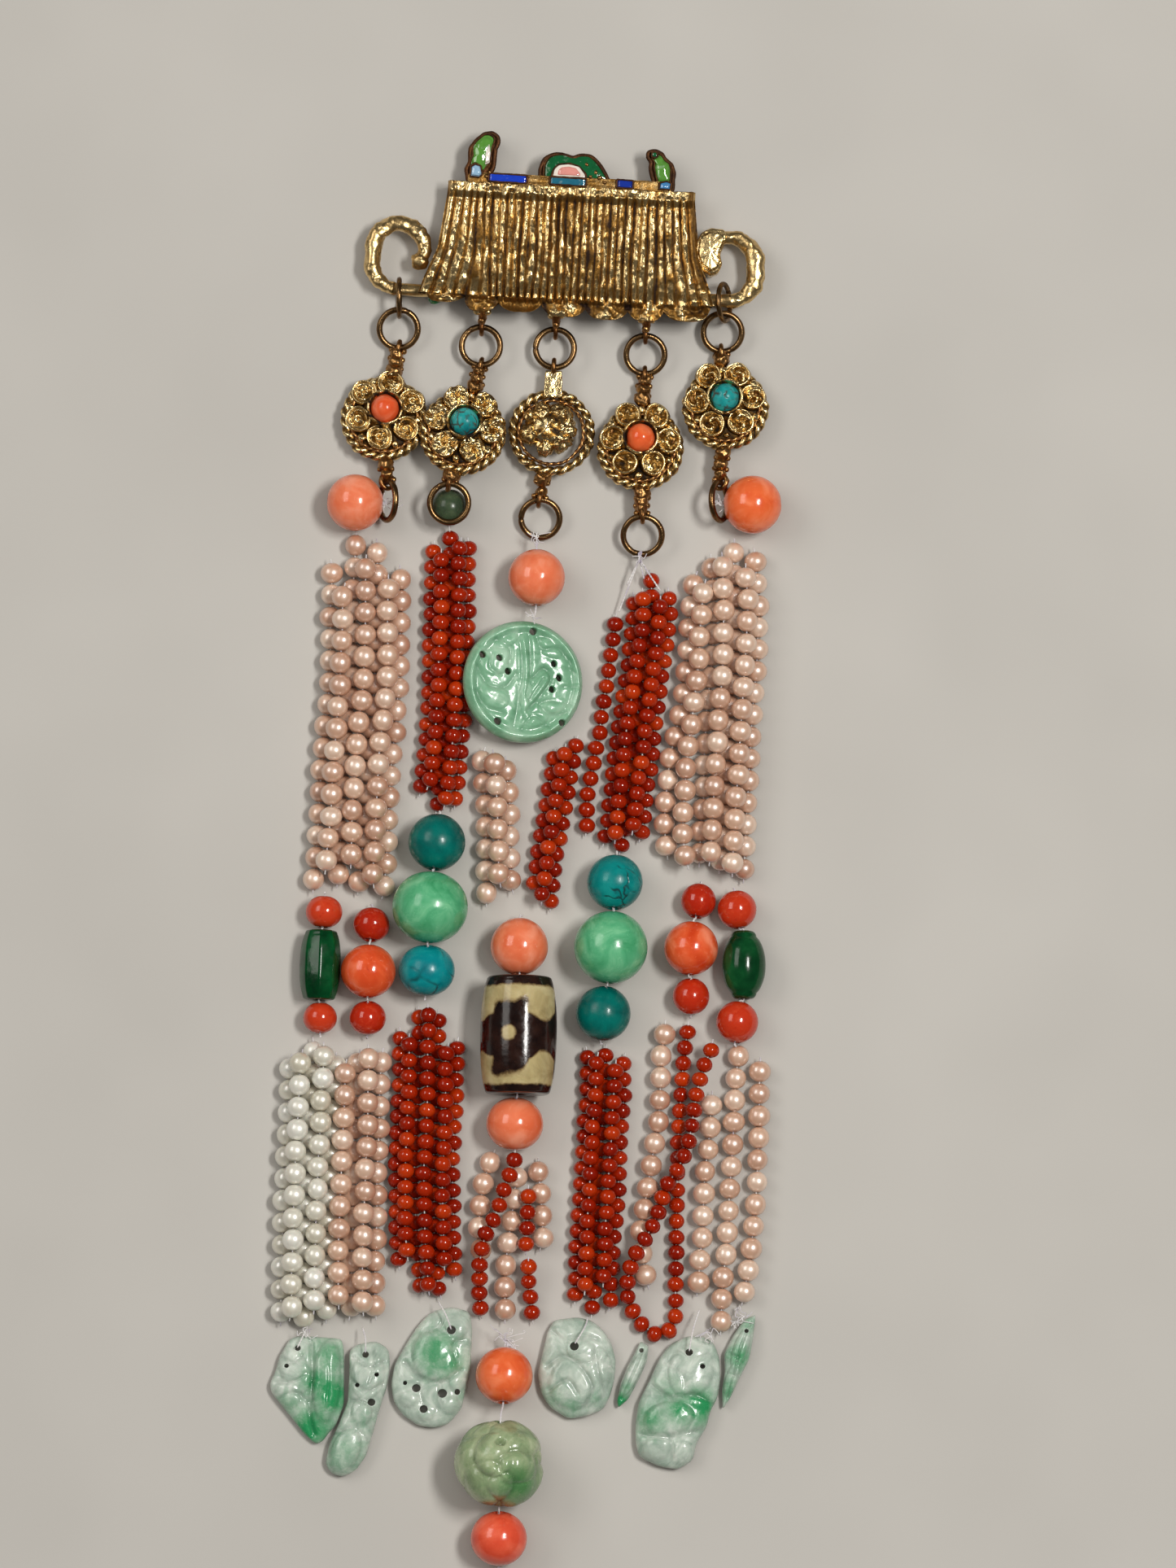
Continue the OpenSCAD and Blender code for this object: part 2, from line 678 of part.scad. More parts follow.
module pendant_e_gourd() {
    color([0.80, 0.88, 0.82])
        carved([21.0, -75.0], 3.2,
               [[-2.3, 6.1], [-1.0, 7.8], [1.2, 8.9], [3.2, 9.0], [4.9, 8.1], [5.7, 6.0], [5.8, 3.2], [5.4, 0.6],
                [4.4, -1.2], [4.0, -3.2], [2.6, -5.4], [2.1, -7.8], [0, -9.0], [-2.6, -8.5], [-5.1, -7.3],
                [-5.6, -5.6], [-5.6, -2.6], [-5.2, 0], [-3.8, 2.8]],
               [[-0.6, 6.2], [3.0, 7.4], [4.6, 3.0], [3.2, -1.8], [-3.8, -2.8], [-2.8, 1.6]],
               [[1.6, 6.7, 0.5], [3.4, 4.8, 0.35]]);
}

module pendant_e_twig() {
    color([0.68, 0.82, 0.72])
        carved([29.3, -70.0], 2.4,
               [[0.8, 6.2], [2.3, 6.9], [1.9, 3.6], [1.4, 0.9], [0.1, -1.7], [-1.2, -4.4], [-2.2, -5.9], [-2.3, -3.4],
                [-1.9, -0.8], [-2.0, 1.6], [-0.8, 4.0], [0.0, 5.2]],
               [[0.7, 5.2], [1.0, 2.2], [-0.8, -2.0], [-1.2, 0.8]],
               [[1.0, 4.6, 0.3]]);
}

// Upper strings: columns of a centre table are y and x

a_upper = even_lanes(4, 3.1, pearl_r, [37.5, 41.2, 39.4, 35.0], [-6.6, -5.4, -6.8, -7.4],
                     [[42, -20.4], [36, -21.0], [22, -21.2], [10, -22.3], [0, -22.8], [-8, -23.5]]);
b_upper = even_lanes(3, 2.45, coral_r, [41.0, 42.6, 40.0], [6.4, 4.5, 5.4],
                     [[43, -9.5], [31, -9.6], [21, -9.9], [12, -10.6], [4, -11.5]]);
c_pearls = even_lanes(2, 3.2, pearl_r, [13.4, 12.8], [-8.2, -7.2], [[14, -3.8], [4, -3.1], [-2, -3.1], [-9, -3.0]]);
c_corals = even_lanes(2, 2.56, coral_r, [12.2, 12.8], [-6.8, -8.8],
                      [[14, 6.2], [4, 4.4], [-2, 3.4], [-6, 2.9], [-10, 2.6]]);
d_bulge = [30.8, 1.4, coral_r, [[32, 12.9], [24, 11.8], [16, 10.6], [12, 9.8], [7, 9.0], [4, 8.9], [1, 8.9]]];
d_upper = even_lanes(3, 2.4, coral_r, [33.4, 35.8, 33.0], [-0.6, -0.9, 0.4],
                     [[36, 17.4], [32, 17.7], [24, 16.7], [16, 15.5], [12, 15.0], [8, 14.6], [4, 14.2], [-1, 13.5]]);
e_bulge = [36.4, -2.4, pearl_r, [[37, 23.6], [32, 22.75], [26, 22.5], [20, 21.9], [16, 21.0], [12, 20.1], [8, 19.7],
                                 [3, 19.3], [-1, 19.7], [-3, 20.5]]];
e_upper = even_lanes(3, 3.06, pearl_r, [38.0, 40.6, 38.6], [-3.6, -4.2, -5.0],
                     [[41, 28.6], [32, 28.95], [26, 28.8], [16, 28.0], [8, 27.6], [0, 27.1], [-5, 26.9]]);

module pearls_a_upper() {
    color(peach)
        laid() {
            floor_strings(a_upper);
            bar(valley_path(a_upper[0], a_upper[1], 36.0, -4.6, pearl_r), pearl_r);
            bar(valley_path(a_upper[1], a_upper[2], 40.0, -4.0, pearl_r), pearl_r);
            bar(valley_path(a_upper[2], a_upper[3], 36.6, -6.0, pearl_r), pearl_r);
        }
}

module corals_b_upper() {
    color(red_coral)
        laid() {
            floor_strings(b_upper);
            bar(valley_path(b_upper[0], b_upper[1], 40.6, 7.0, coral_r), coral_r);
            bar(valley_path(b_upper[1], b_upper[2], 41.4, 5.2, coral_r), coral_r);
        }
}

module pearls_c_upper() {
    color(peach)
        laid() {
            floor_strings(c_pearls);
            bar(valley_path(c_pearls[0], c_pearls[1], 13.0, -6.0, pearl_r), pearl_r);
        }
}

module corals_c_upper() {
    color(red_coral)
        laid() {
            floor_strings(c_corals);
            bar(valley_path(c_corals[0], c_corals[1], 13.2, -7.6, coral_r), coral_r);
        }
}

module corals_d_upper() {
    color(red_coral)
        laid() {
            floor_strings(concat([d_bulge], d_upper));
            bar(valley_path(d_upper[0], d_upper[1], 34.6, 0.4, coral_r), coral_r);
            bar(valley_path(d_upper[1], d_upper[2], 34.0, 1.0, coral_r), coral_r);
        }
}

module pearls_e_upper() {
    color(peach)
        laid() {
            floor_strings(concat([e_bulge], e_upper));
            bar(valley_path(e_bulge, e_upper[0], 35.4, -2.8, pearl_r), pearl_r);
            bar(valley_path(e_upper[0], e_upper[1], 39.6, -3.0, pearl_r), pearl_r);
            bar(valley_path(e_upper[1], e_upper[2], 37.6, -4.0, pearl_r), pearl_r);
        }
}

// Lower strings

a_lower_left = even_lanes(3, 3.05, pearl_r, [-28.2, -26.2, -28.0], [-64.6, -65.0, -64.2],
                          [[-26, -27.9], [-32, -28.1], [-44, -28.7], [-54, -29.1], [-65, -29.2]]);
a_lower_right = even_lanes(2, 3.1, pearl_r, [-26.6, -27.4], [-64.8, -63.8],
                           [[-26, -20.2], [-32, -20.4], [-44, -20.9], [-54, -21.1], [-65, -21.2]]);
b_lower = even_lanes(4, 2.5, coral_r, [-24.6, -21.4, -21.8, -25.8], [-57.0, -61.0, -61.4, -58.6],
                     [[-21, -12.3], [-33, -12.5], [-42, -13.0], [-52, -12.9], [-62, -12.2]]);
c_left = [-42.4, -56.0, pearl_r, [[-42, -3.8], [-45, -4.9], [-49, -5.4], [-52, -5.6], [-56, -5.3]]];
c_middle = [-44.6, -64.0, pearl_r, [[-44, -0.4], [-48, -1.0], [-52, -1.4], [-55, -1.8], [-60, -2.1], [-64, -2.0]]];
c_right = [-42.6, -55.4, pearl_r, [[-42, 2.2], [-46, 2.6], [-50, 2.9], [-55, 3.1]]];
d_lower = even_lanes(3, 2.5, coral_r, [-27.6, -27.0, -28.2], [-61.4, -63.4, -62.4],
                     [[-27, 11.4], [-33, 11.3], [-40, 10.8], [-48, 10.4], [-53, 10.0], [-60, 9.8], [-64, 9.4]]);
e_lower = [
    [-33.2, -61.5, pearl_r, [[-33, 25.9], [-38, 25.3], [-45, 24.6], [-54, 24.3], [-57, 24.1], [-62, 23.8]]],
    [-28.0, -65.6, pearl_r, [[-28, 29.2], [-33, 28.9], [-42, 28.3], [-52, 27.7], [-57, 27.3], [-60, 26.9], [-66, 26.9]]],
    [-30.6, -62.4, pearl_r, [[-30, 32.1], [-39, 32.0], [-52, 31.1], [-58, 30.4], [-63, 29.4]]],
];
e_pearls = [[20.2, -23.4, 1.6], [19.0, -26.5, 1.55], [18.8, -31, 1.55], [18.4, -37, 1.55], [17.6, -42, 1.55],
            [16.9, -47, 1.55], [16.2, -52, 1.55], [16.4, -56, 1.55], [17.4, -60, 1.55]];

// The long coral string: down, round a wide loop, up again and across
e_loop = [
    [22.6, -23.9, 1.5], [22.1, -27, 1.2], [21.6, -33, 1.2], [21.1, -40, 1.2], [21.0, -47, 1.2], [21.0, -54, 1.2],
    [20.9, -60, 1.2], [20.8, -63.2, 1.2], [20.1, -65.1, 1.2], [18.6, -65.9, 1.2], [16.9, -65.1, 1.2],
    [15.3, -63.2, 1.3], [14.4, -60.6, 2.2], [14.8, -57.4, 3.6], [15.9, -54.6, 4.4], [17.4, -52.2, 4.1],
    [18.4, -49.8, 3.2], [19.2, -47.0, 2.9], [20.4, -44.6, 3.6], [21.7, -42.6, 3.7], [22.6, -39.4, 3.5],
    [23.2, -35.6, 3.3], [24.0, -31.6, 3.2], [25.2, -28.6, 3.0], [26.2, -26.6, 2.8],
];

module pearls_a_lower_left() {
    color(white_pearl)
        laid() {
            floor_strings(a_lower_left);
            bar(valley_path(a_lower_left[0], a_lower_left[1], -27.4, -64.4, pearl_r), pearl_r);
            bar(valley_path(a_lower_left[1], a_lower_left[2], -27.0, -63.0, pearl_r), pearl_r);
        }
}

module pearls_a_lower_right() {
    color(peach)
        laid() {
            floor_strings(a_lower_right);
            bar(valley_path(a_lower_left[2], a_lower_right[0], -29.0, -62.6, pearl_r), pearl_r);
            bar(valley_path(a_lower_right[0], a_lower_right[1], -27.0, -63.6, pearl_r), pearl_r);
        }
}

module corals_b_lower() {
    color(red_coral)
        laid() {
            floor_strings(b_lower);
            bar(valley_path(b_lower[1], b_lower[2], -21.8, -60.4, coral_r), coral_r);
            bar(valley_path(b_lower[2], b_lower[3], -26.6, -57.4, coral_r), coral_r);
        }
}

module mixed_c_lower() {
    color([0.86, 0.50, 0.42])
        laid() {
            floor_strings([c_left, c_middle, c_right]);
            bar(valley_path(c_middle, c_right, -46.2, -55.0, coral_r), coral_r);
            bar(smooth([[-1.0, -42.2, 4.0], [-1.9, -45.4, 3.7], [-2.8, -48, 3.5], [-3.6, -50.4, 3.6],
                        [-4.8, -53, 4.2], [-5.4, -56, 4.3], [-5.5, -58.6, 3.0], [-5.5, -61.4, 1.5], [-5.2, -63.6, 1.2]], 2),
                coral_r);
            bar(smooth([[1.1, -57.6, 3.0], [1.0, -60, 1.5], [1.4, -62, 1.2], [1.2, -64.4, 1.2]], 2), coral_r);
        }
}

module corals_d_lower() {
    color(red_coral)
        laid() {
            floor_strings(d_lower);
            bar(valley_path(d_lower[0], d_lower[1], -27.8, -61.0, coral_r), coral_r);
            bar(valley_path(d_lower[1], d_lower[2], -28.6, -60.0, coral_r), coral_r);
        }
}

module corals_e_lower() {
    color(red_coral)
        laid()
            bar(smooth(e_loop, 2), coral_r);
}

module pearls_e_lower() {
    color(peach)
        laid() {
            floor_strings(e_lower);
            bar(smooth(e_pearls, 1), pearl_r);
        }
}

// Drilled beads that stand alone

module coral_left() {
    color(salmon)
        bead(-22.4, 46.4, 7.7, 7.7, 0, -95);
}

module coral_right() {
    color(salmon)
        bead(31.25, 46.1, 7.9, 7.9, 0, 95);
}

module green_bead() {
    color(dark_green)
        bead(-9.7, 45.9, 5.0, 5.0);
}

module coral_middle() {
    color(salmon)
        bead(2.1, 36.2, 7.7, 7.7);
}

module turquoise_b_upper() {
    color(turquoise)
        column_bead(column_b[0]);
}

module jade_b() {
    color(jade_green)
        column_bead(column_b[1]);
}

module turquoise_b_lower() {
    color(turquoise)
        column_bead(column_b[2]);
}

module turquoise_d_upper() {
    color(turquoise)
        column_bead(column_d[0]);
}

module jade_d() {
    color(jade_green)
        column_bead(column_d[1]);
}

module turquoise_d_lower() {
    color(turquoise)
        column_bead(column_d[2]);
}

module barrel_a() {
    color(dark_green)
        lying_barrel(-27.0, -16.2, 5.5, 9.4, 4.4);
}

module coral_a() {
    color(salmon)
        column_bead(column_a_right[1]);
}

module coral_c_upper() {
    color(salmon)
        column_bead(column_c[0]);
}

module pattern_barrel() {
    color([0.85, 0.78, 0.60])
        lying_barrel(-0.3, -25.9, 10.3, 15.8, 8.8);
}

module coral_c_lower() {
    color(salmon)
        column_bead(column_c[2]);
}

module coral_e() {
    color(salmon)
        column_bead(column_e_left[1]);
}

module barrel_e() {
    color(dark_green)
        lying_barrel(30.0, -16.2, 5.9, 9.2, 4.6, 0);
}

module coral_end_upper() {
    color(salmon)
        column_bead(column_end[0]);
}

module carved_ball() {
    color([0.45, 0.58, 0.45])
        column_bead(column_end[1]);
}

module coral_end_lower() {
    color(salmon)
        column_bead(column_end[2]);
}

module small_corals() {
    color(red_coral)
        for (b = [column_a_left[0], column_a_left[2], column_a_right[0], column_a_right[2], column_e_left[0],
                  column_e_left[2], column_e_right[0], column_e_right[2]])
            column_bead(b);
}

// Threads

module threads_upper() {
    color(thread_white)
        laid() {
            thread([[2.1, 42.4, 3.4], [2.1, 40.6, 3.8], [2.1, 36.2, 3.9], [2.0, 32, 3.8], [1.6, 30.6, 4.6]]);
            thread([[-9.7, 42.8, 2.2], [-9.7, 45.9, 2.54], [-9.7, 49.0, 2.7]]);
            thread([[-17.4, 46.9, 3.6], [-18.2, 46.2, 3.85], [-22.4, 46.4, 3.89]]);
            thread([[26.4, 46.7, 3.7], [27.1, 46.0, 3.95], [31.25, 46.1, 3.99]]);
        }
}

module threads_middle() {
    color(thread_white)
        laid() {
            thread(column_thread(column_a_left, [-26.4, -6.4, 3.2], [-26.9, -25.9, 3.2]));
            thread(column_thread(column_a_right, [-20.2, -7.9, 1.4], [-20.7, -26.0, 1.4]));
            thread(column_thread(column_b, [-11.0, 4.6, 3.0], [-12.9, -21.0, 3.0]));
            thread(column_thread(column_c, [0.2, -9.5, 2.4], [-1.0, -41.8, 2.4]));
            thread(column_thread(column_d, [12.9, -0.8, 2.6], [11.0, -26.8, 2.6]));
            thread(column_thread(column_e_left, [24.2, -4.8, 1.2], [22.8, -23.2, 1.4]));
            thread(column_thread(column_e_right, [28.6, -5.8, 2.6], [29.0, -27.2, 2.8]));
        }
}

module threads_lower() {
    color(thread_white)
        laid()
            thread(column_thread(column_end, [-2.0, -66.9, 3.2], [-3.0, -97.2, 2.6]));
}

roof_plate();
ridge_enamel();
back_pin();
upper_rings();
rosette(1);  // rosette_1
rosette(2);  // rosette_2
rosette_3();
rosette(4);  // rosette_4
rosette(5);  // rosette_5
cabochon(1, salmon);  // cabochon_1
cabochon(2, turquoise);  // cabochon_2
cabochon(4, salmon);  // cabochon_4
cabochon(5, turquoise);  // cabochon_5
lower_rings();
coral_left();
coral_right();
green_bead();
coral_middle();
jade_disc();
turquoise_b_upper();
jade_b();
turquoise_b_lower();
turquoise_d_upper();
jade_d();
turquoise_d_lower();
barrel_a();
coral_a();
coral_c_upper();
pattern_barrel();
coral_c_lower();
coral_e();
barrel_e();
coral_end_upper();
carved_ball();
coral_end_lower();
small_corals();
pendant_a_leaf();
pendant_a_gourd();
pendant_b_fruit();
pendant_d_shell();
pendant_e_blade();
pendant_e_gourd();
pendant_e_twig();
pearls_a_upper();
corals_b_upper();
pearls_c_upper();
corals_c_upper();
corals_d_upper();
pearls_e_upper();
pearls_a_lower_left();
pearls_a_lower_right();
corals_b_lower();
mixed_c_lower();
corals_d_lower();
corals_e_lower();
pearls_e_lower();
threads_upper();
threads_middle();
threads_lower();
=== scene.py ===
import math

import bpy
import numpy as np
from mathutils import Matrix


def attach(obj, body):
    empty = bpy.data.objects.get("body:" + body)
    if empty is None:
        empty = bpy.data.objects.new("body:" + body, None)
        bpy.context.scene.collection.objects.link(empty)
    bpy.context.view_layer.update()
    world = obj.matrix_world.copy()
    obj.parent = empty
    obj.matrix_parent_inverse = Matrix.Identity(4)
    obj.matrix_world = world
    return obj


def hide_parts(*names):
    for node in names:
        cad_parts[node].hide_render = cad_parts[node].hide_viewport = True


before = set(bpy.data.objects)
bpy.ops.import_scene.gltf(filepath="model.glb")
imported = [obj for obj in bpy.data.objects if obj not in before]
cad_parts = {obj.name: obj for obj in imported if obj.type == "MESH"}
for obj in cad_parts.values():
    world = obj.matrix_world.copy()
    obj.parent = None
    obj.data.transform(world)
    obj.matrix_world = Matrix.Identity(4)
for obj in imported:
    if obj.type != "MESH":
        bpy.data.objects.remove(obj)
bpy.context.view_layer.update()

# Places, in millimetres

MM = 0.001
CLEAR = 0.04  # gap under what lies on the surface
PEARL = 1.45  # half the thickness of a string of pearls
CORAL = 1.125  # and of a string of red corals
UP = np.array([0, 0, 1.0])


def move(x, y, z=0.0):
    m = np.eye(4)
    m[:3, 3] = x, y, z
    return m


def spin(axis, degrees):
    c, s = math.cos(math.radians(degrees)), math.sin(math.radians(degrees))
    i, j = {"x": (1, 2), "y": (2, 0), "z": (0, 1)}[axis]
    m = np.eye(4)
    m[i, i], m[i, j], m[j, i], m[j, j] = c, -s, s, c
    return m


def put(m, pts):
    return np.asarray(pts, float) @ m[:3, :3].T + m[:3, 3]


TURN = 2.9  # degrees by which the strings run askew to the roof plate
LAID = move(-2.15, 0.4) @ spin("z", TURN)  # the strings, rosettes and rings
ROOF = LAID @ move(6.8, 88.3) @ spin("z", -TURN)  # the roof plate, square to the frame

# Noise


def lattice(x, y, z, seed):
    """Chance values from -1 to 1 at whole-numbered places."""
    h = (x * 374761393 + y * 668265263 + z * 1274126177 + seed * 144269504) & 0xFFFFFFFF
    h = ((h ^ (h >> 13)) * 1103515245) & 0xFFFFFFFF
    return ((h ^ (h >> 16)) & 0xFFFF) / 32767.5 - 1.0


def noise(p, size, seed=0):
    """Smooth value noise from -1 to 1 with features of the given size in mm."""
    q = np.asarray(p, float) / size + 1000.37
    i = np.floor(q).astype(np.int64)
    f = q - i
    f = f * f * (3 - 2 * f)
    out = 0
    for corner in np.ndindex(2, 2, 2):
        w = np.prod(np.where(corner, f, 1 - f), axis=-1)
        out = out + w * lattice(*(i[..., k] + corner[k] for k in range(3)), seed)
    return out


def rough(p, size, seed=0, octaves=3):
    return sum(noise(p, size / 2**k, seed + k) / 1.8**k for k in range(octaves))


def ease(t):
    """Runs smoothly from 0 to 1 while t does."""
    t = np.clip(t, 0, 1)
    return t * t * (3 - 2 * t)


# Paths and meshes


def unit(v):
    return v / np.linalg.norm(v, axis=-1, keepdims=True)


def angles(count):
    return np.arange(count) / count * 2 * math.pi


def lengths(path):
    """Distance along a path to each of its points."""
    return np.concatenate([[0], np.cumsum(np.linalg.norm(np.diff(path, axis=0), axis=1))])


def points_at(path, s):
    """Points of a path at the distances s along it."""
    d = lengths(path)
    return np.stack([np.interp(s, d, column) for column in path.T], -1)


def smooth(pts, steps=8):
    """A curve through the points, with steps points from each to the next."""
    p = np.asarray(pts, float)
    p = np.concatenate([p[:1], p, p[-1:]])
    out = []
    for i in range(1, len(p) - 2):
        a, b, c, d = p[i - 1 : i + 3]
        for t in np.arange(steps) / steps:
            bend = (c - a) * t + (2 * a - 5 * b + 4 * c - d) * t * t + (3 * b - a - 3 * c + d) * t**3
            out.append(0.5 * (2 * b + bend))
    return np.array(out + [p[-2]])


def signed_volume(v, faces):
    """Six times the volume under the faces, as seen from the middle of the points."""
    p = v[faces] - v.mean(0)
    corners = range(1, faces.shape[1] - 1)
    return sum(np.einsum("ij,ij->", p[:, 0], np.cross(p[:, k], p[:, k + 1])) for k in corners)


class Shape:
    """Collects parts of one piece, in mm, with per-point values that the materials read."""

    KEYS = ("tone", "deep", "tint")

    def __init__(self):
        self.v, self.polys, self.count = [], [], 0
        self.vals = {k: [] for k in self.KEYS}

    def add(self, v, faces, mat=0, **vals):
        """Adds a closed body, turned inside out where its faces point inwards."""
        v = np.asarray(v, float).reshape(-1, 3)
        faces = faces if isinstance(faces, list) else [faces]
        inward = sum(signed_volume(v, f) for f in faces) < 0
        for f in faces:
            self.polys.append(((f[:, ::-1] if inward else f) + self.count, mat))
        self.v.append(v)
        for k in self.KEYS:
            self.vals[k].append(np.broadcast_to(np.asarray(vals.get(k, 0.0), float), (len(v),)))
        self.count += len(v)

    def made(self, name, materials=()):
        """A Blender object of all that was added."""
        mesh = bpy.data.meshes.new(name)
        v = np.concatenate(self.v) * MM
        mesh.vertices.add(len(v))
        mesh.vertices.foreach_set("co", v.ravel())
        sizes = np.concatenate([np.full(len(f), f.shape[1]) for f, _ in self.polys])
        loops = np.concatenate([f.ravel() for f, _ in self.polys])
        mats = np.concatenate([np.full(len(f), m) for f, m in self.polys])
        mesh.loops.add(len(loops))
        mesh.loops.foreach_set("vertex_index", loops)
        mesh.polygons.add(len(sizes))
        mesh.polygons.foreach_set("loop_start", np.concatenate([[0], np.cumsum(sizes)[:-1]]))
        mesh.polygons.foreach_set("material_index", mats)
        mesh.polygons.foreach_set("use_smooth", np.ones(len(sizes), bool))
        mesh.update(calc_edges=True)
        mesh.validate()
        for k in self.KEYS:
            vals = np.concatenate(self.vals[k])
            if vals.any():
                mesh.attributes.new(k, "FLOAT", "POINT").data.foreach_set("value", vals)
        for m in materials:
            mesh.materials.append(m)
        obj = bpy.data.objects.new(name, mesh)
        bpy.context.scene.collection.objects.link(obj)
        return obj

    def piece(self, node, ending, materials, cut=None):
        """Makes the piece that stands for a CAD node, with the Shape cut taken out of it if one is given."""
        obj = self.made(f"{node}_{ending}", materials)
        if cut:
            drill(obj, cut)
        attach(obj, "root")
        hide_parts(node)


def drill(obj, cutter):
    """Cuts the given Shape out of obj and keeps the result as its mesh."""
    tool = cutter.made(obj.name + "_cutter")
    mod = obj.modifiers.new("cut", "BOOLEAN")
    mod.operation, mod.solver, mod.object = "DIFFERENCE", "EXACT", tool
    bpy.context.view_layer.update()
    made = bpy.data.meshes.new_from_object(obj.evaluated_get(bpy.context.evaluated_depsgraph_get()))
    obj.modifiers.remove(mod)
    was, obj.data = obj.data, made
    made.name = obj.name
    bpy.data.meshes.remove(was)
    bpy.data.objects.remove(tool)


def grid(rows, cols, wrap=False, closed_rows=False):
    """Quads over a rows x cols net of points, wrapped round in the second direction if asked."""
    r = np.arange(rows if closed_rows else rows - 1)
    c = np.arange(cols if wrap else cols - 1)
    a, b = np.meshgrid(r, c, indexing="ij")
    a2, b2 = (a + 1) % rows, (b + 1) % cols
    return np.stack([a * cols + b, a * cols + b2, a2 * cols + b2, a2 * cols + b], -1).reshape(-1, 4)


def fan(ring, tip, flip=False):
    """Triangles from the points numbered in ring to the point numbered tip."""
    t = np.stack([ring, np.roll(ring, -1), np.full(len(ring), tip)], -1)
    return t[:, ::-1] if flip else t


def band(one, other):
    """Quads between two rings of numbered points."""
    return np.stack([one, np.roll(one, -1), np.roll(other, -1), other], -1)


def capped(rows, segs):
    """Faces of a wrapped net and its two tips: the points after the net's, for its last row and its first."""
    n, ring = rows * segs, np.arange(segs)
    return [grid(rows, segs, wrap=True), fan(ring + n - segs, n), fan(ring, n + 1, flip=True)]


def lathe(profile, segs):
    """Points of a profile of (radius, height) turned round Z, as rows x segs x 3."""
    prof, a = np.asarray(profile, float), angles(segs)
    return np.stack([prof[:, :1] * np.cos(a), prof[:, :1] * np.sin(a), np.repeat(prof[:, 1:], segs, 1)], -1)


def turned(profile, segs):
    """Points and quads of a closed profile turned round Z; its radii stay above 0."""
    return lathe(profile, segs).reshape(-1, 3), grid(len(profile), segs, wrap=True, closed_rows=True)


def bead_profile(across, along, bore, rings, lip=0.1):
    """Wall of a drilled round bead from hole to hole, with a small worn lip at each mouth."""
    half, lean = along / 2, (across - along) / 2
    start = math.asin(min(0.95, max(0.05, (bore + lip - lean) / half))) if lean < bore + lip else 0.06
    t = np.linspace(start, math.pi - start, rings)
    wall = np.stack([lean + half * np.sin(t), half * np.cos(t)], -1)
    return np.concatenate([wall, [[bore, wall[-1, 1] + lip * 0.6], [bore, wall[0, 1] - lip * 0.6]]])


def tube(shape, path, r, sides=12, closed=False, flat=1.0, seed=0, lumps=0.0, lump_size=0.8, **vals):
    """A round bar along a path, with radii r, flattened along Z by the factor flat."""
    p = np.asarray(path, float)
    n = len(p)
    d = unit(np.roll(p, -1, 0) - np.roll(p, 1, 0) if closed else np.gradient(p, axis=0))
    side = np.cross(d, UP)
    steep = np.linalg.norm(side, axis=1) < 0.12
    side[steep] = np.cross(d[steep], [0, 1.0, 0])
    side = unit(side)
    for i in range(1, n):  # no sudden half turn of the frame
        if side[i] @ side[i - 1] < 0:
            side[i] *= -1
    a = angles(sides)[None, :, None]
    off = np.cos(a) * side[:, None] + flat * np.sin(a) * np.cross(side, d)[:, None]
    v = p[:, None] + off * np.broadcast_to(np.asarray(r, float), (n,))[:, None, None]
    if lumps:
        v = v + off * (rough(v, lump_size, seed) * lumps)[..., None]
    if closed:
        shape.add(v, grid(n, sides, wrap=True, closed_rows=True), **vals)
    else:
        shape.add(np.concatenate([v.reshape(-1, 3), p[-1:], p[:1]]), capped(n, sides), **vals)


def hoop(shape, place, r, wire, points, **more):
    """A closed ring of round wire, flat in its own place."""
    a = angles(points)
    tube(shape, put(place, np.c_[r * np.cos(a), r * np.sin(a), np.zeros(points)]), wire, closed=True, **more)


def ball(shape, place, at, r, segs=16, rings=10, seed=0, lumps=0.0, **vals):
    """A lumpy ball about the point at, seen in its place."""
    centre = put(place, at)
    t = np.linspace(0.001, math.pi - 0.001, rings + 2)[1:-1]
    v = lathe(np.stack([np.sin(t), np.cos(t)], -1), segs).reshape(-1, 3)
    v = np.concatenate([v, [-UP, UP]]) * r + centre
    if lumps:
        v += (v - centre) / r * (rough(v, 0.7, seed) * lumps)[:, None]
    shape.add(v, capped(rings, segs), **vals)


# Materials


def srgb(r, g, b):
    """Blender's linear colour for a colour with parts from 0 to 255."""
    linear = [((c / 255 + 0.055) / 1.055) ** 2.4 if c > 10 else c / 255 / 12.92 for c in (r, g, b)]
    return (*linear, 1.0)


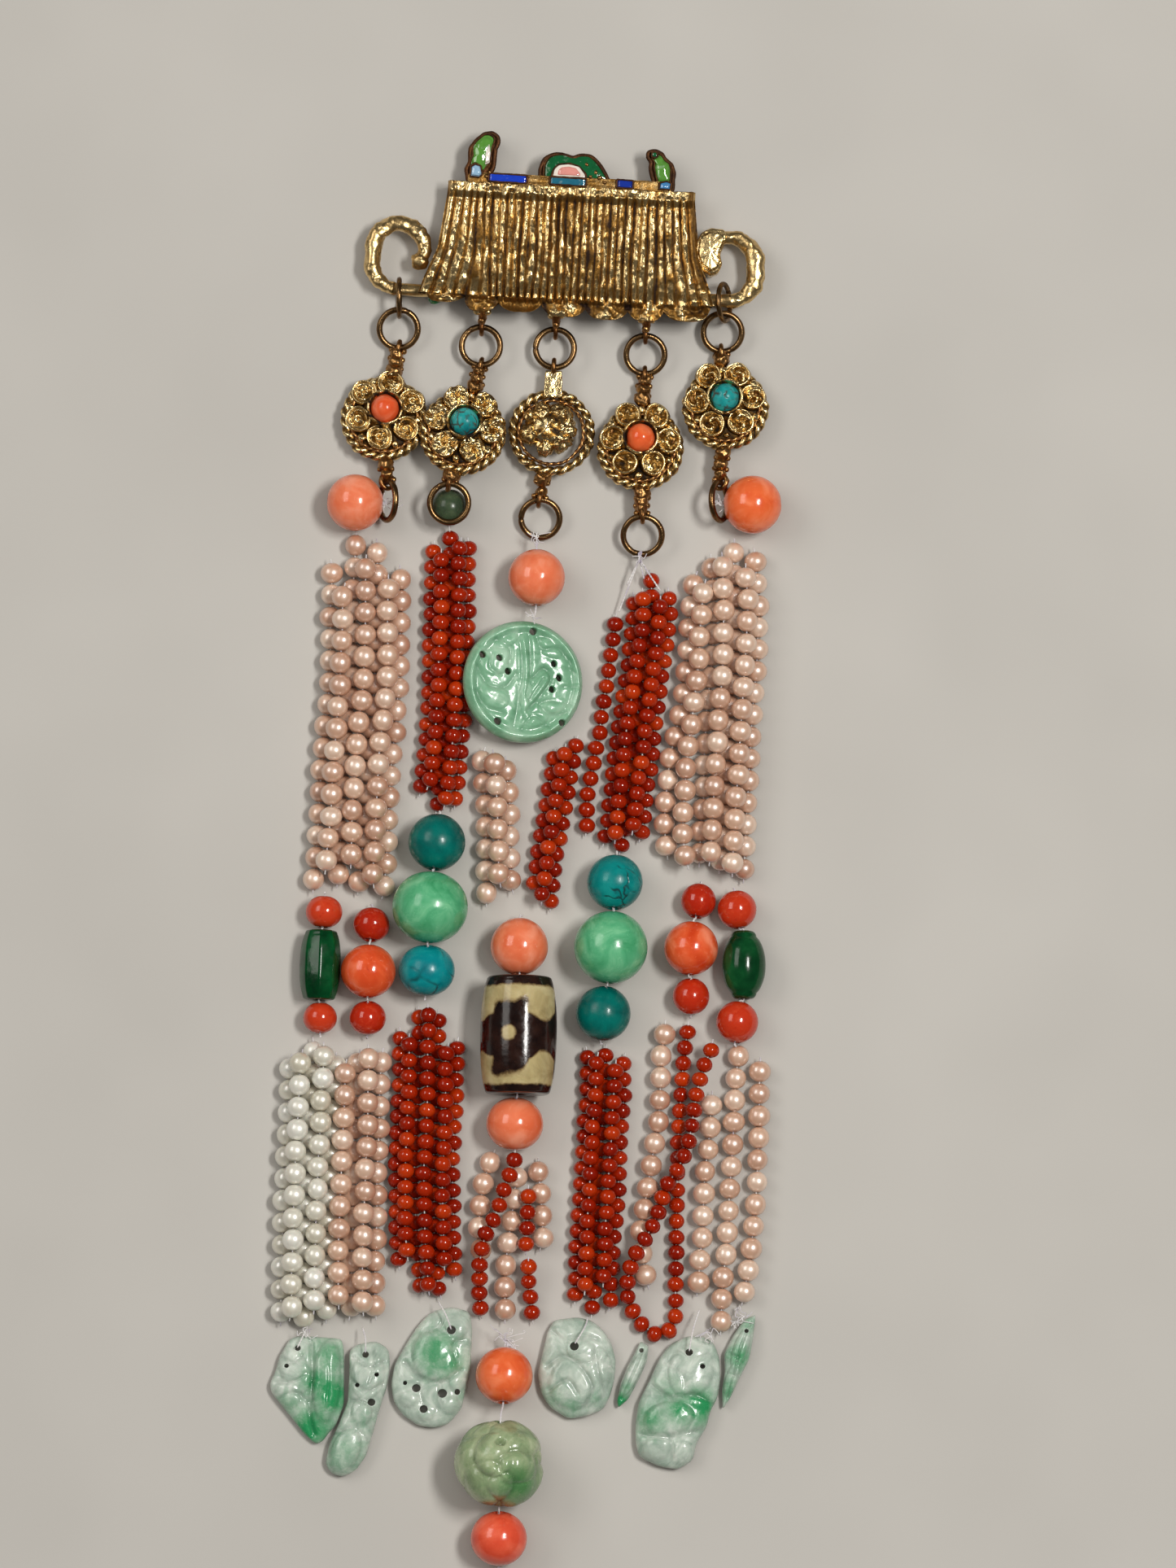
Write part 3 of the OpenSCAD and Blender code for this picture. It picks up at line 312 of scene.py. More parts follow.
class Paint:
    """A procedural material built from a few chained nodes. Its colours have parts from 0 to 255."""

    SOCKETS = {
        "roughness": "Roughness", "metallic": "Metallic", "coat": "Coat Weight",
        "coat_rough": "Coat Roughness", "ior": "IOR", "spec": "Specular IOR Level",
        "sss": "Subsurface Weight", "sss_radius": "Subsurface Radius", "sss_scale": "Subsurface Scale",
        "sheen": "Sheen Weight",
    }

    def __init__(self, name, **constants):
        self.mat = bpy.data.materials.new(name)
        self.mat.use_nodes = True
        self.tree = self.mat.node_tree
        self.bsdf = self.tree.nodes["Principled BSDF"]
        for word, value in constants.items():
            self.bsdf.inputs[self.SOCKETS[word]].default_value = value
        self.where = self.node("ShaderNodeTexCoord").outputs["Object"]

    def feed(self, socket, value):
        """Gives a socket another socket's value or a constant, or leaves it where the value is None."""
        if isinstance(value, bpy.types.NodeSocket):
            self.tree.links.new(value, socket)
        elif value is not None:
            socket.default_value = value

    def node(self, kind, inputs=(), **props):
        n = self.tree.nodes.new(kind)
        for name, value in props.items():
            setattr(n, name, value)
        for name, value in dict(inputs).items():
            self.feed(n.inputs[name], value)
        return n

    def value(self, name):
        """A value that is stored on the points."""
        return self.node("ShaderNodeAttribute", attribute_name=name).outputs["Fac"]

    def shifted(self, shift, stretch=(1, 1, 1)):
        """Places on the object, shifted and stretched."""
        parts = {"Vector": self.where, "Location": shift, "Scale": stretch}
        return self.node("ShaderNodeMapping", parts).outputs["Vector"]

    def noise(self, size, detail=3.0, rough_=0.55, distortion=0.0, seed=0.0, stretch=(1, 1, 1)):
        """Noise with features of about size mm."""
        at = self.shifted((seed * 0.013, seed * 0.007, seed * 0.011), stretch)
        parts = {"Vector": at, "Scale": 1 / (size * MM), "Detail": detail, "Roughness": rough_}
        return self.node("ShaderNodeTexNoise", {**parts, "Distortion": distortion}).outputs["Fac"]

    def cell_edges(self, size, seed):
        """Distance from the edges of wavering cells of about size mm."""
        at = self.shifted((seed * 0.009, seed * 0.005, seed * 0.003))
        waver = self.node("ShaderNodeTexNoise", {"Vector": at, "Scale": 1.6 / (size * MM)}).outputs["Color"]
        reach = (0.5 * size * MM,) * 3
        bent = self.node("ShaderNodeVectorMath", {0: waver, 1: reach, 2: at}, operation="MULTIPLY_ADD")
        parts = {"Vector": bent.outputs["Vector"], "Scale": 1 / (size * MM)}
        return self.node("ShaderNodeTexVoronoi", parts, feature="DISTANCE_TO_EDGE").outputs["Distance"]

    def ramp(self, value, *stops):
        """Colours or numbers at positions along value."""
        n = self.node("ShaderNodeValToRGB", {"Fac": value})
        e = n.color_ramp.elements
        while len(e) < len(stops):
            e.new(0.5)
        for element, (position, stop) in zip(e, stops):
            element.position = position
            element.color = srgb(*stop) if isinstance(stop, tuple) else (stop,) * 3 + (1.0,)
        return n.outputs["Color"]

    def mix(self, factor, a, b, kind="MIX"):
        a, b = (srgb(*c) if isinstance(c, tuple) else c for c in (a, b))
        parts = {"Factor": factor, 6: a, 7: b}
        return self.node("ShaderNodeMix", parts, data_type="RGBA", blend_type=kind).outputs[2]

    def maths(self, kind, a, b, c=None, clamp=False):
        return self.node("ShaderNodeMath", {0: a, 1: b, 2: c}, operation=kind, use_clamp=clamp).outputs[0]

    def ragged(self, value, noise, amount, clamp=False):
        """A value made uneven by noise, by up to half the amount either way."""
        return self.maths("ADD", value, self.maths("MULTIPLY_ADD", noise, amount, -amount / 2), clamp=clamp)

    def spots(self, colour, other, noise, start, end, amount):
        """The other colour mixed in, up to amount, where the noise passes from start to end."""
        return self.mix(self.ramp(noise, (start, 0.0), (end, amount)), colour, other)

    def bump(self, height, depth):
        """Bump of the given depth in mm for a height from 0 to 1, over any bump that is there."""
        normal = self.bsdf.inputs["Normal"]
        below = normal.links[0].from_socket if normal.is_linked else None
        n = self.node("ShaderNodeBump", {"Height": height, "Distance": depth * MM, "Normal": below})
        self.feed(normal, n.outputs["Normal"])

    def set(self, name, value):
        self.feed(self.bsdf.inputs[name], value)

    def finish(self, colour, gloss=None, grain=None):
        """Sets the colour, roughness in patches (size, detail, seed, low, high) and a fine bump
        (size, detail, roughness, seed, depth), and returns the material."""
        self.set("Base Color", colour)
        if gloss:
            size, detail, seed, low, high = gloss
            self.set("Roughness", self.ramp(self.noise(size, detail, seed=seed), (0.3, low), (0.7, high)))
        if grain:
            size, detail, rough_, seed, depth = grain
            self.bump(self.noise(size, detail, rough_, seed=seed), depth)
        return self.mat


def gilt_paint(name, bright, mid, dark, base, grain=0.035):
    """Gilding, bright on what stands proud and brown in the recesses, where the brown is partly wear and
    partly painted shade.
    """
    p = Paint(name)
    deep = p.ragged(p.value("deep"), p.noise(1.6, 4, 0.6, seed=1), 0.7)
    deep = p.ragged(deep, p.noise(0.35, 3, 0.6, seed=2), 0.5, clamp=True)
    p.set("Metallic", p.ramp(deep, (0.4, 1.0), (1.0, 0.55)))
    p.set("Roughness", p.ramp(deep, (0.0, base), (0.5, base + 0.14), (1.0, 0.7)))
    p.bump(p.noise(0.5, 3, 0.6, seed=3), grain * 1.6)
    p.bump(p.noise(0.16, 2, 0.6, seed=4), grain * 0.6)
    # wear and painted shade: the colour runs from bright to dark as the depth value rises
    return p.finish(p.ramp(deep, (0.0, bright), (0.45, mid), (0.95, dark)))


GILT = gilt_paint("gilt_wear_and_shade", (238, 208, 150), (154, 112, 52), (40, 20, 7), 0.27)
GILT_FOIL = gilt_paint("gilt_foil", (248, 220, 162), (146, 106, 46), (26, 13, 4), 0.2, grain=0.045)
GILT_BROWN = gilt_paint("gilt_rubbed_brown", (190, 146, 92), (116, 74, 40), (34, 16, 8), 0.26)
RING_BRONZE = gilt_paint("ring_bronze", (150, 118, 78), (96, 70, 46), (40, 28, 20), 0.24, grain=0.02)
PIN_BRASS = gilt_paint("pin_brass", (214, 178, 104), (166, 126, 66), (60, 40, 22), 0.3, grain=0.012)


def salmon_paint(name, low, mid, high, cloud=3.5, seed=0.0, dark=None):
    """Polished pale coral with soft clouds and faint growth lines, and dark blots if asked."""
    p = Paint(name, coat=0.2, coat_rough=0.04, sss=0.25, sss_radius=(1.0, 0.35, 0.2), sss_scale=0.0015)
    c = p.ramp(p.noise(cloud, 3, 0.5, distortion=0.6, seed=seed), (0.30, low), (0.5, mid), (0.68, high))
    c = p.spots(c, low, p.noise(1.3, 3, 0.6, seed=seed + 5, stretch=(1.0, 0.35, 1.0)), 0.5, 0.75, 0.28)
    c = p.spots(c, high, p.noise(0.5, 2, 0.5, seed=seed + 9), 0.62, 0.75, 0.35)
    if dark:
        c = p.spots(c, dark, p.noise(2.4, 4, 0.65, distortion=1.2, seed=seed + 3), 0.68, 0.78, 0.8)
    return p.finish(c, gloss=(0.9, 2, seed + 7, 0.12, 0.24), grain=(1.1, 2, 0.5, seed + 8, 0.02))


SALMON = salmon_paint("coral_salmon", (226, 108, 68), (236, 130, 92), (244, 154, 122))
SALMON_CLOUDED = salmon_paint(
    "coral_clouded", (206, 66, 26), (226, 92, 48), (242, 136, 98), cloud=3.6, seed=4.0, dark=(166, 42, 26))
SALMON_ORANGE = salmon_paint("coral_orange", (222, 86, 40), (234, 110, 60), (242, 132, 88), cloud=3.0,
                             seed=8.0)
SALMON_DEEP = salmon_paint("coral_deep_salmon", (206, 66, 40), (224, 86, 58), (236, 112, 82), seed=11.0)


def red_paint(name, shades, fleck, coat):
    """Red coral: the bead's own shade from its tone, with small lighter and darker flecks."""
    p = Paint(name, coat=coat, coat_rough=0.04, sss=0.12, sss_radius=(1.0, 0.25, 0.12), sss_scale=0.0008)
    c = p.ramp(p.value("tone"), *shades)
    c = p.spots(c, fleck, p.noise(0.9, 3, 0.6, seed=1), 0.55, 0.78, 0.5)
    c = p.spots(c, shades[0][1], p.noise(0.6, 3, 0.6, seed=4), 0.58, 0.75, 0.5)
    return p.finish(c, gloss=(0.5, 2, 2, 0.09, 0.2), grain=(0.6, 2, 0.5, 3, 0.01))


RED = red_paint("coral_red_strung", [(0.0, (126, 16, 0)), (0.4, (148, 26, 0)), (0.75, (166, 38, 2)),
                                     (1.0, (190, 58, 10))], (190, 46, 14), 0.0)
RED_BIG = red_paint("coral_red_round", [(0.0, (160, 26, 8)), (0.5, (190, 46, 18)), (1.0, (208, 72, 38))],
                    (214, 84, 50), 0.2)


def pearl_paint(name, low, mid, high, seed=0.0):
    """Pearls: the bead's own shade from its tone, soft under a glossy skin."""
    p = Paint(name, coat=0.6, coat_rough=0.06, ior=2.3, spec=1.0, sss=0.1, sss_radius=(1.0, 0.6, 0.45),
              sss_scale=0.0008)
    c = p.ramp(p.value("tone"), (0.0, low), (0.5, mid), (1.0, high))
    c = p.spots(c, low, p.noise(1.4, 2, 0.5, seed=seed), 0.45, 0.8, 0.35)
    return p.finish(c, gloss=(0.7, 2, seed + 1, 0.32, 0.42), grain=(0.8, 2, 0.5, seed + 2, 0.01))


PEACH = pearl_paint("pearl_peach", (196, 144, 114), (222, 178, 148), (238, 208, 184))
WHITE = pearl_paint("pearl_white", (204, 196, 172), (224, 219, 202), (240, 238, 228), seed=3.0)


def turquoise_paint(name, low, mid, high, seed=0.0, crack=0.0, dark=(20, 50, 52), size=6.0, wide=0.05):
    """Turquoise with clouds, and dark cracks between cells of the given size if crack is above 0."""
    p = Paint(name, coat=0.06, coat_rough=0.08, spec=0.32)
    c = p.ramp(p.noise(3.2, 4, 0.55, distortion=0.4, seed=seed), (0.3, low), (0.52, mid), (0.72, high))
    if crack:
        edge = p.ramp(p.cell_edges(size, seed + 1), (0.0, 1.0), (wide, 0.0))
        part = p.ramp(p.noise(size * 0.9, 2, 0.5, seed=seed + 6), (0.42, 0.0), (0.55, crack))
        line = p.maths("MULTIPLY", edge, part)
        c = p.mix(line, c, dark)
        p.bump(p.maths("SUBTRACT", 1.0, line), 0.05)
    return p.finish(c, gloss=(0.8, 3, seed + 2, 0.2, 0.36), grain=(0.9, 3, 0.55, seed + 3, 0.02))


TEAL = turquoise_paint("turquoise_teal", (0, 80, 76), (0, 100, 93), (2, 116, 106))
TEAL_BRIGHT = turquoise_paint("turquoise_bright", (0, 112, 122), (6, 134, 140), (30, 156, 156), 4.0, 0.9,
                              size=5.5)
TEAL_CRACKED = turquoise_paint(
    "turquoise_cracked", (0, 106, 106), (4, 128, 126), (24, 148, 142), 9.0, 1.0, size=3.4, wide=0.045)
TURQUOISE_STONE = turquoise_paint(
    "turquoise_matrix", (10, 100, 108), (34, 150, 150), (80, 180, 176), 2.0, 1.0, (70, 58, 46), 1.5, 0.16)


def jade_paint(name, low, mid, high, cloud=4.0, seed=0.0, green=None):
    """Polished jade with clouds; green fills the patches whose tint is stored on the points, and painted
    shade darkens the grooves and hollows where the depth value on the points is high.
    """
    p = Paint(name, coat=0.15, coat_rough=0.06, sss=0.3, sss_radius=(0.7, 1.0, 0.8), sss_scale=0.0018)
    c = p.ramp(p.noise(cloud, 4, 0.6, distortion=0.9, seed=seed), (0.3, low), (0.5, mid), (0.7, high))
    if green:
        tint = p.ragged(p.value("tint"), p.noise(1.3, 4, 0.65, distortion=0.5, seed=seed + 3), 0.7,
                        clamp=True)
        c = p.spots(c, green, tint, 0.12, 0.85, 1.0)
    c = p.spots(c, high, p.noise(0.9, 3, 0.6, seed=seed + 5), 0.58, 0.8, 0.35)
    # painted shade: a darker copy of the colour, mixed in where the depth value on the points is high
    shade = p.mix(0.5, c, (60, 84, 66), "MULTIPLY")
    c = p.mix(p.maths("MULTIPLY", p.value("deep"), 0.5, clamp=True), c, shade)
    return p.finish(c, gloss=(0.8, 3, seed + 6, 0.15, 0.3), grain=(0.9, 3, 0.5, seed + 7, 0.03))


JADE_GREEN = jade_paint("jade_mint", (60, 150, 100), (88, 174, 126), (124, 196, 150), seed=1.0)
JADE_DISC = jade_paint("jade_disc_mint", (104, 156, 122), (130, 178, 146), (166, 202, 176), 5.0, 5.0)
JADE_PALE = jade_paint("jade_pale", (146, 166, 152), (178, 192, 180), (212, 220, 210), 3.0, 7.0,
                       (44, 146, 90))
JADE_GREY = jade_paint("jade_grey", (114, 132, 96), (152, 168, 130), (188, 198, 162), 4.0, 12.0,
                       (82, 132, 80))


def glassy_paint(name, low, mid, high, least_rough, seed):
    """Dark glossy stone with clouds."""
    p = Paint(name, coat=0.15, coat_rough=0.04, spec=0.3, sss=0.15, sss_radius=(0.3, 1.0, 0.5),
              sss_scale=0.002)
    c = p.ramp(p.noise(3.0, 4, 0.55, seed=seed), (0.3, low), (0.5, mid), (0.72, high))
    gloss = (0.8, 3, seed + 2, least_rough, least_rough + 0.14)
    return p.finish(c, gloss=gloss, grain=(1.2, 2, 0.5, seed + 3, 0.03))


GREEN_FACETED = glassy_paint("stone_green_faceted", (0, 42, 18), (0, 62, 28), (8, 84, 42), 0.1, 1.0)
GREEN_OVAL = glassy_paint("stone_green_oval", (2, 48, 22), (8, 66, 32), (24, 90, 46), 0.1, 4.0)
GREEN_DARK = glassy_paint("stone_green_dark", (34, 46, 34), (52, 66, 48), (78, 92, 66), 0.2, 6.0)


def pattern_paint():
    """Cream stone with dark brown figures where the tint is high, brown along their edges."""
    p = Paint("stone_patterned", spec=0.35, coat=0.1, coat_rough=0.05, sss=0.12, sss_radius=(1.0, 0.4, 0.2),
              sss_scale=0.0012)
    clouds = p.noise(3.4, 4, 0.6, distortion=0.5, seed=2)
    cream = p.ramp(clouds, (0.3, (148, 132, 90)), (0.52, (182, 166, 120)), (0.72, (202, 188, 146)))
    dark = p.ramp(p.noise(2.0, 3, 0.5, seed=5), (0.35, (20, 9, 8)), (0.7, (44, 24, 18)))
    edge = p.ragged(p.value("tint"), p.noise(0.7, 3, seed=3), 0.24)
    c = p.mix(p.ramp(edge, (0.36, 0.0), (0.5, 0.75), (0.6, 0.75)), cream, (96, 66, 34))
    c = p.spots(c, dark, edge, 0.46, 0.58, 1.0)
    return p.finish(c, gloss=(0.7, 3, 7, 0.1, 0.24), grain=(1.0, 3, 0.5, 8, 0.03))


ENAMELS = {
    "royal": (24, 62, 190), "dark_blue": (22, 50, 150), "light_blue": (70, 134, 190),
    "blue_green": (34, 104, 128), "dark_green": (14, 92, 50), "bright_green": (88, 148, 58),
    "pink": (226, 150, 140), "white": (236, 226, 214), "pale_blue": (150, 186, 214),
}
TONES = dict(zip(ENAMELS, (0.0, 0.12, 0.25, 0.38, 0.5, 0.62, 0.75, 0.88, 1.0)))


def enamel_paint():
    """Enamel whose colour comes from the field's tone, with darker and paler clouds."""
    p = Paint("enamel_fields", roughness=0.08, coat=0.9, coat_rough=0.03, ior=1.52)
    c = p.ramp(p.value("tone"), *((TONES[name], colour) for name, colour in ENAMELS.items()))
    c = p.spots(c, p.mix(0.5, c, (20, 40, 60), "MULTIPLY"), p.noise(1.1, 3, 0.6, seed=1), 0.45, 0.8, 0.5)
    c = p.spots(c, (214, 226, 216), p.noise(0.8, 3, 0.6, seed=5), 0.6, 0.8, 0.4)
    return p.finish(c, grain=(0.9, 2, 0.5, 2, 0.06))


def thread_paint():
    p = Paint("thread_fibre", roughness=0.7, sheen=0.4)
    shades = (0.35, (196, 190, 200)), (0.6, (226, 224, 222)), (0.75, (170, 160, 176))
    return p.finish(p.ramp(p.noise(2.6, 2, 0.5, seed=1), *shades), grain=(0.12, 2, 0.6, 2, 0.03))


PATTERN = pattern_paint()
ENAMEL = enamel_paint()
THREAD = thread_paint()

# Floor, light, camera


def floor():
    half = 3.0
    mesh = bpy.data.meshes.new("floor")
    mesh.from_pydata([(-half, -half, 0), (half, -half, 0), (half, half, 0), (-half, half, 0)], [],
                     [(0, 1, 2, 3)])
    obj = bpy.data.objects.new("floor", mesh)
    p = Paint("floor_pale", roughness=0.85, spec=0.2)
    mesh.materials.append(p.finish(p.ramp(p.noise(40.0, 2), (0.3, (184, 181, 176)), (0.7, (190, 187, 182)))))
    bpy.context.scene.collection.objects.link(obj)


def looking(at, back, up):
    """Placement of a camera or light at a point, with its back and up directions."""
    z = unit(np.asarray(back, float))
    x = unit(np.cross(up, z))
    y = np.cross(z, x)
    return Matrix([(x[k], y[k], z[k], at[k]) for k in range(3)] + [(0, 0, 0, 1)])


def area_light(name, at, size, power, colour, glossy=True):
    """A soft light aimed at the middle, its long side along the picture's height."""
    lamp = bpy.data.lights.new(name, "AREA")
    lamp.shape, lamp.size, lamp.size_y = "RECTANGLE", size[0], size[1]
    lamp.energy, lamp.color = power, colour
    obj = bpy.data.objects.new(name, lamp)
    obj.matrix_world = looking(at, at, [0, 1.0, 0])
    obj.visible_glossy = glossy
    bpy.context.scene.collection.objects.link(obj)


def camera():
    """Looks down at the laid-out piece, a little from the tassels' side."""
    aim = np.array([6.439, 9.443, 0.0]) * MM
    away, field, sensor = 1.6, 0.2117, 24
    tilt, turn = math.radians(6), math.radians(TURN)
    up = np.array([-math.sin(turn), math.cos(turn), 0])
    back = -up * math.sin(tilt) + UP * math.cos(tilt)
    data = bpy.data.cameras.new("camera")
    data.sensor_fit, data.sensor_height, data.sensor_width = "VERTICAL", sensor, 18
    data.lens = sensor * away / field
    data.clip_start, data.clip_end = 0.01, 10
    obj = bpy.data.objects.new("camera", data)
    obj.matrix_world = looking(aim + away * back, back, up)
    bpy.context.scene.collection.objects.link(obj)
    bpy.context.scene.camera = obj


def light():
    scene = bpy.context.scene
    scene.view_settings.view_transform = "Standard"
    scene.world = bpy.data.worlds.new("studio")
    scene.world.use_nodes = True
    background = scene.world.node_tree.nodes["Background"].inputs
    background["Color"].default_value = (1.0, 0.97, 0.93, 1)
    background["Strength"].default_value = 0.07
    area_light("key_right", (0.44, 0.12, 1.05), (0.15, 0.34), 8.5, (1.0, 0.98, 0.94))
    area_light("soft_left", (-0.75, 0.35, 0.9), (0.45, 0.8), 4.0, (1.0, 0.97, 0.92))
    area_light("fill_top", (-0.1, 0.1, 1.3), (1.0, 1.0), 4.4, (1.0, 0.96, 0.9), glossy=False)


floor()
camera()
light()

# Strings of small beads


def even_lanes(pitch, r, first, last, centre):
    """Lanes side by side about a centre line of (y, x), each from its first to its last y,
    for beads of radius r."""
    off = [(i - (len(first) - 1) / 2) * pitch for i in range(len(first))]
    return [(a, b, r, [(y, x + shift) for y, x in centre]) for a, b, shift in zip(first, last, off)]


def lane_x(lane, y):
    t = sorted(lane[3])
    return np.interp(y, [k[0] for k in t], [k[1] for k in t])


def steps_of(first, last):
    return np.linspace(first, last, max(3, int(abs(first - last))))


def floor_path(lane):
    """Path of a string that lies on the surface."""
    y = steps_of(lane[0], lane[1])
    return np.stack([lane_x(lane, y), y, np.full_like(y, lane[2] + CLEAR)], -1)


def valley_path(a, b, first, last, r):
    """Path of a string of radius r that lies on the strings of two lanes."""
    y = steps_of(first, last)
    half = (lane_x(b, y) - lane_x(a, y)) / 2
    z = a[2] + CLEAR + np.sqrt(np.maximum(0.01, (a[2] + r + 0.17) ** 2 - half**2))
    return np.stack([(lane_x(a, y) + lane_x(b, y)) / 2, y, z], -1)


def spaced(path, pitch):
    """Points every pitch mm along a path, centred on it, and the directions there."""
    reach = lengths(path)[-1]
    n = max(2, int((reach + 0.3) / pitch))
    p = points_at(path, (reach - n * pitch) / 2 + pitch * (np.arange(n) + 0.5))
    return p, unit(np.gradient(p, axis=0))


# Radius across, half length and spacing of the strung beads, with the bead's points and faces
STRUNG = {
    "pearl": (1.5, 1.47, 2.98, *turned(bead_profile(2, 2, 0.16, 10, lip=0.08), 16)),
    "coral": (1.17, 1.05, 2.13, *turned(bead_profile(2, 2, 0.2, 8, lip=0.08), 14)),
}


def string(shape, path, kind, rng, mat, thread_mat):
    """Beads along one path, each a little different in size, tilt and shade, with the thread through them."""
    r, half, pitch, v, q = STRUNG[kind]
    sway = noise(path * [0.2, 1, 0], 9.0, int(rng.integers(1000)))
    p, t = spaced(path + sway[:, None] * [0.16, 0, 0], pitch)
    n = len(p)
    across = r * rng.uniform(0.95, 1.02, n)
    along = half * rng.uniform(0.95, 1.03, n)
    p = p + rng.normal(0, 0.05, (n, 3)) * [1, 0.5, 0.5]
    p[:, 2] = np.maximum(p[:, 2], across + CLEAR)
    t = unit(t + rng.normal(0, 0.1, (n, 3)))
    side = unit(np.cross(t, UP))
    up = np.cross(side, t)
    roll = rng.uniform(0, 2 * math.pi, n)[:, None]
    a, b = np.cos(roll) * side + np.sin(roll) * up, -np.sin(roll) * side + np.cos(roll) * up
    uneven = across[:, None] * (1 + rng.uniform(-0.03, 0.03, (n, 2)))
    axes = np.stack([uneven[:, :1] * a, uneven[:, 1:] * b, along[:, None] * t], 1)
    shade = np.repeat(rng.uniform(0.1, 0.95, n), len(v))
    faces = (q[None] + (np.arange(n) * len(v))[:, None, None]).reshape(-1, 4)
    shape.add(put(LAID, p[:, None] + v @ axes), faces, mat=mat, tone=shade)
    ends = np.concatenate([[p[0] - t[0] * r * 1.3], p, [p[-1] + t[-1] * r * 1.3]])
    tube(shape, put(LAID, ends), 0.1, sides=5, mat=thread_mat, tone=0.5)


def bundle(name, strings, materials, slot, seed):
    """A piece of strings, each with its kind of bead, its path and the number of its material."""
    rng = np.random.default_rng(seed)
    s = Shape()
    for kind, path, mat in strings:
        string(s, path, kind, rng, mat, len(materials))
    s.piece(name, "strung", [*materials, THREAD])


# Lanes from left to right, then free paths. Rows of points are (y, x) in lanes and (x, y, z) in paths
a_upper = even_lanes(3.1, PEARL, [39.2, 42.5, 41.8, 38.4], [-6.6, -5.4, -6.8, -7.4],
                     [(43, -20.8), (36, -21.0), (22, -21.2), (10, -22.3), (0, -22.8), (-8, -23.5)])
b_upper = even_lanes(2.45, CORAL, [41.8, 43.0, 41.6], [6.4, 4.5, 5.4],
                     [(43, -9.5), (31, -9.6), (21, -9.9), (12, -10.6), (4, -11.5)])
c_pearls = even_lanes(3.2, PEARL, [13.4, 12.8], [-8.2, -7.2], [(14, -3.8), (4, -3.1), (-2, -3.1), (-9, -3.0)])
c_corals = even_lanes(2.56, CORAL, [13.8, 15.0], [-6.8, -8.8],
                      [(14, 6.2), (4, 4.4), (-2, 3.4), (-6, 2.9), (-10, 2.6)])
d_bulge = (31.6, 1.4, CORAL, [(32, 12.9), (24, 11.8), (16, 10.6), (12, 9.8), (7, 9.0), (4, 8.9), (1, 8.9)])
d_upper = even_lanes(2.4, CORAL, [35.0, 37.2, 35.2], [-0.6, -0.9, 0.4],
                     [(36, 17.4), (32, 17.7), (24, 16.7), (16, 15.5), (12, 15.0), (8, 14.6), (4, 14.2),
                      (-1, 13.5)])
e_bulge = (38.0, -2.4, PEARL, [(37, 23.6), (32, 22.75), (26, 22.5), (20, 21.9), (16, 21.0), (12, 20.1),
                               (8, 19.7), (3, 19.3), (-1, 19.7), (-3, 20.5)])
e_upper = even_lanes(3.06, PEARL, [40.4, 42.2, 40.6], [-3.6, -4.2, -5.0],
                     [(41, 28.6), (32, 28.95), (26, 28.8), (16, 28.0), (8, 27.6), (0, 27.1), (-5, 26.9)])
a_low_left = even_lanes(3.05, PEARL, [-28.2, -26.2, -28.0], [-64.6, -65.0, -64.2],
                        [(-26, -27.9), (-32, -28.1), (-44, -28.7), (-54, -29.1), (-65, -29.2)])
a_low_right = even_lanes(3.1, PEARL, [-26.6, -27.4], [-64.8, -63.8],
                         [(-26, -20.2), (-32, -20.4), (-44, -20.9), (-54, -21.1), (-65, -21.2)])
b_lower = even_lanes(2.5, CORAL, [-24.6, -21.4, -21.8, -25.8], [-57.0, -61.0, -61.4, -58.6],
                     [(-21, -12.3), (-33, -12.5), (-42, -13.0), (-52, -12.9), (-62, -12.2)])
c_left = (-41.2, -56.0, PEARL, [(-42, -3.8), (-45, -4.9), (-49, -5.4), (-52, -5.6), (-56, -5.3)])
c_middle = (-43.2, -64.0, PEARL, [(-44, -0.4), (-48, -1.0), (-52, -1.4), (-55, -1.8), (-60, -2.1),
                                  (-64, -2.0)])
c_right = (-41.4, -55.4, PEARL, [(-42, 2.2), (-46, 2.6), (-50, 2.9), (-55, 3.1)])
d_lower = even_lanes(2.5, CORAL, [-27.6, -27.0, -28.2], [-61.4, -63.4, -62.4],
                     [(-27, 11.4), (-33, 11.3), (-40, 10.8), (-48, 10.4), (-53, 10.0), (-60, 9.8),
                      (-64, 9.4)])
e_lower = [
    (-32.4, -61.5, PEARL, [(-32, 26.1), (-33, 25.9), (-38, 25.3), (-45, 24.6), (-54, 24.3), (-57, 24.1),
                           (-62, 23.8)]),
    (-26.9, -65.6, PEARL, [(-27, 29.3), (-33, 28.9), (-42, 28.3), (-52, 27.7), (-57, 27.3), (-60, 26.9),
                           (-66, 26.9)]),
    (-28.2, -62.4, PEARL, [(-28, 31.9), (-30, 32.1), (-39, 32.0), (-52, 31.1), (-58, 30.4), (-63, 29.4)]),
]
e_pearls = [[20.2, -23.4, 1.6], [19.0, -26.5, 1.55], [18.8, -31, 1.55], [18.4, -37, 1.55], [17.6, -42, 1.55],
            [16.9, -47, 1.55], [16.2, -52, 1.55], [16.4, -56, 1.55], [17.4, -60, 1.55]]
e_loop = [
    [22.6, -23.9, 1.5], [22.1, -27, 1.2], [21.6, -33, 1.2], [21.1, -40, 1.2], [21.0, -47, 1.2],
    [21.0, -54, 1.2], [20.9, -60, 1.2], [20.8, -63.2, 1.2], [20.1, -65.1, 1.2], [18.6, -65.9, 1.2],
    [16.9, -65.1, 1.2], [15.3, -63.2, 1.3], [14.4, -60.6, 2.2], [14.8, -57.4, 3.6], [15.9, -54.6, 4.4],
    [17.4, -52.2, 4.1], [18.4, -49.8, 3.2], [19.2, -47.0, 2.9], [20.4, -44.6, 3.6], [21.7, -42.6, 3.7],
    [22.6, -39.4, 3.5], [23.2, -35.6, 3.3], [24.0, -31.6, 3.2], [25.2, -28.6, 3.0], [26.2, -26.6, 2.8],
]
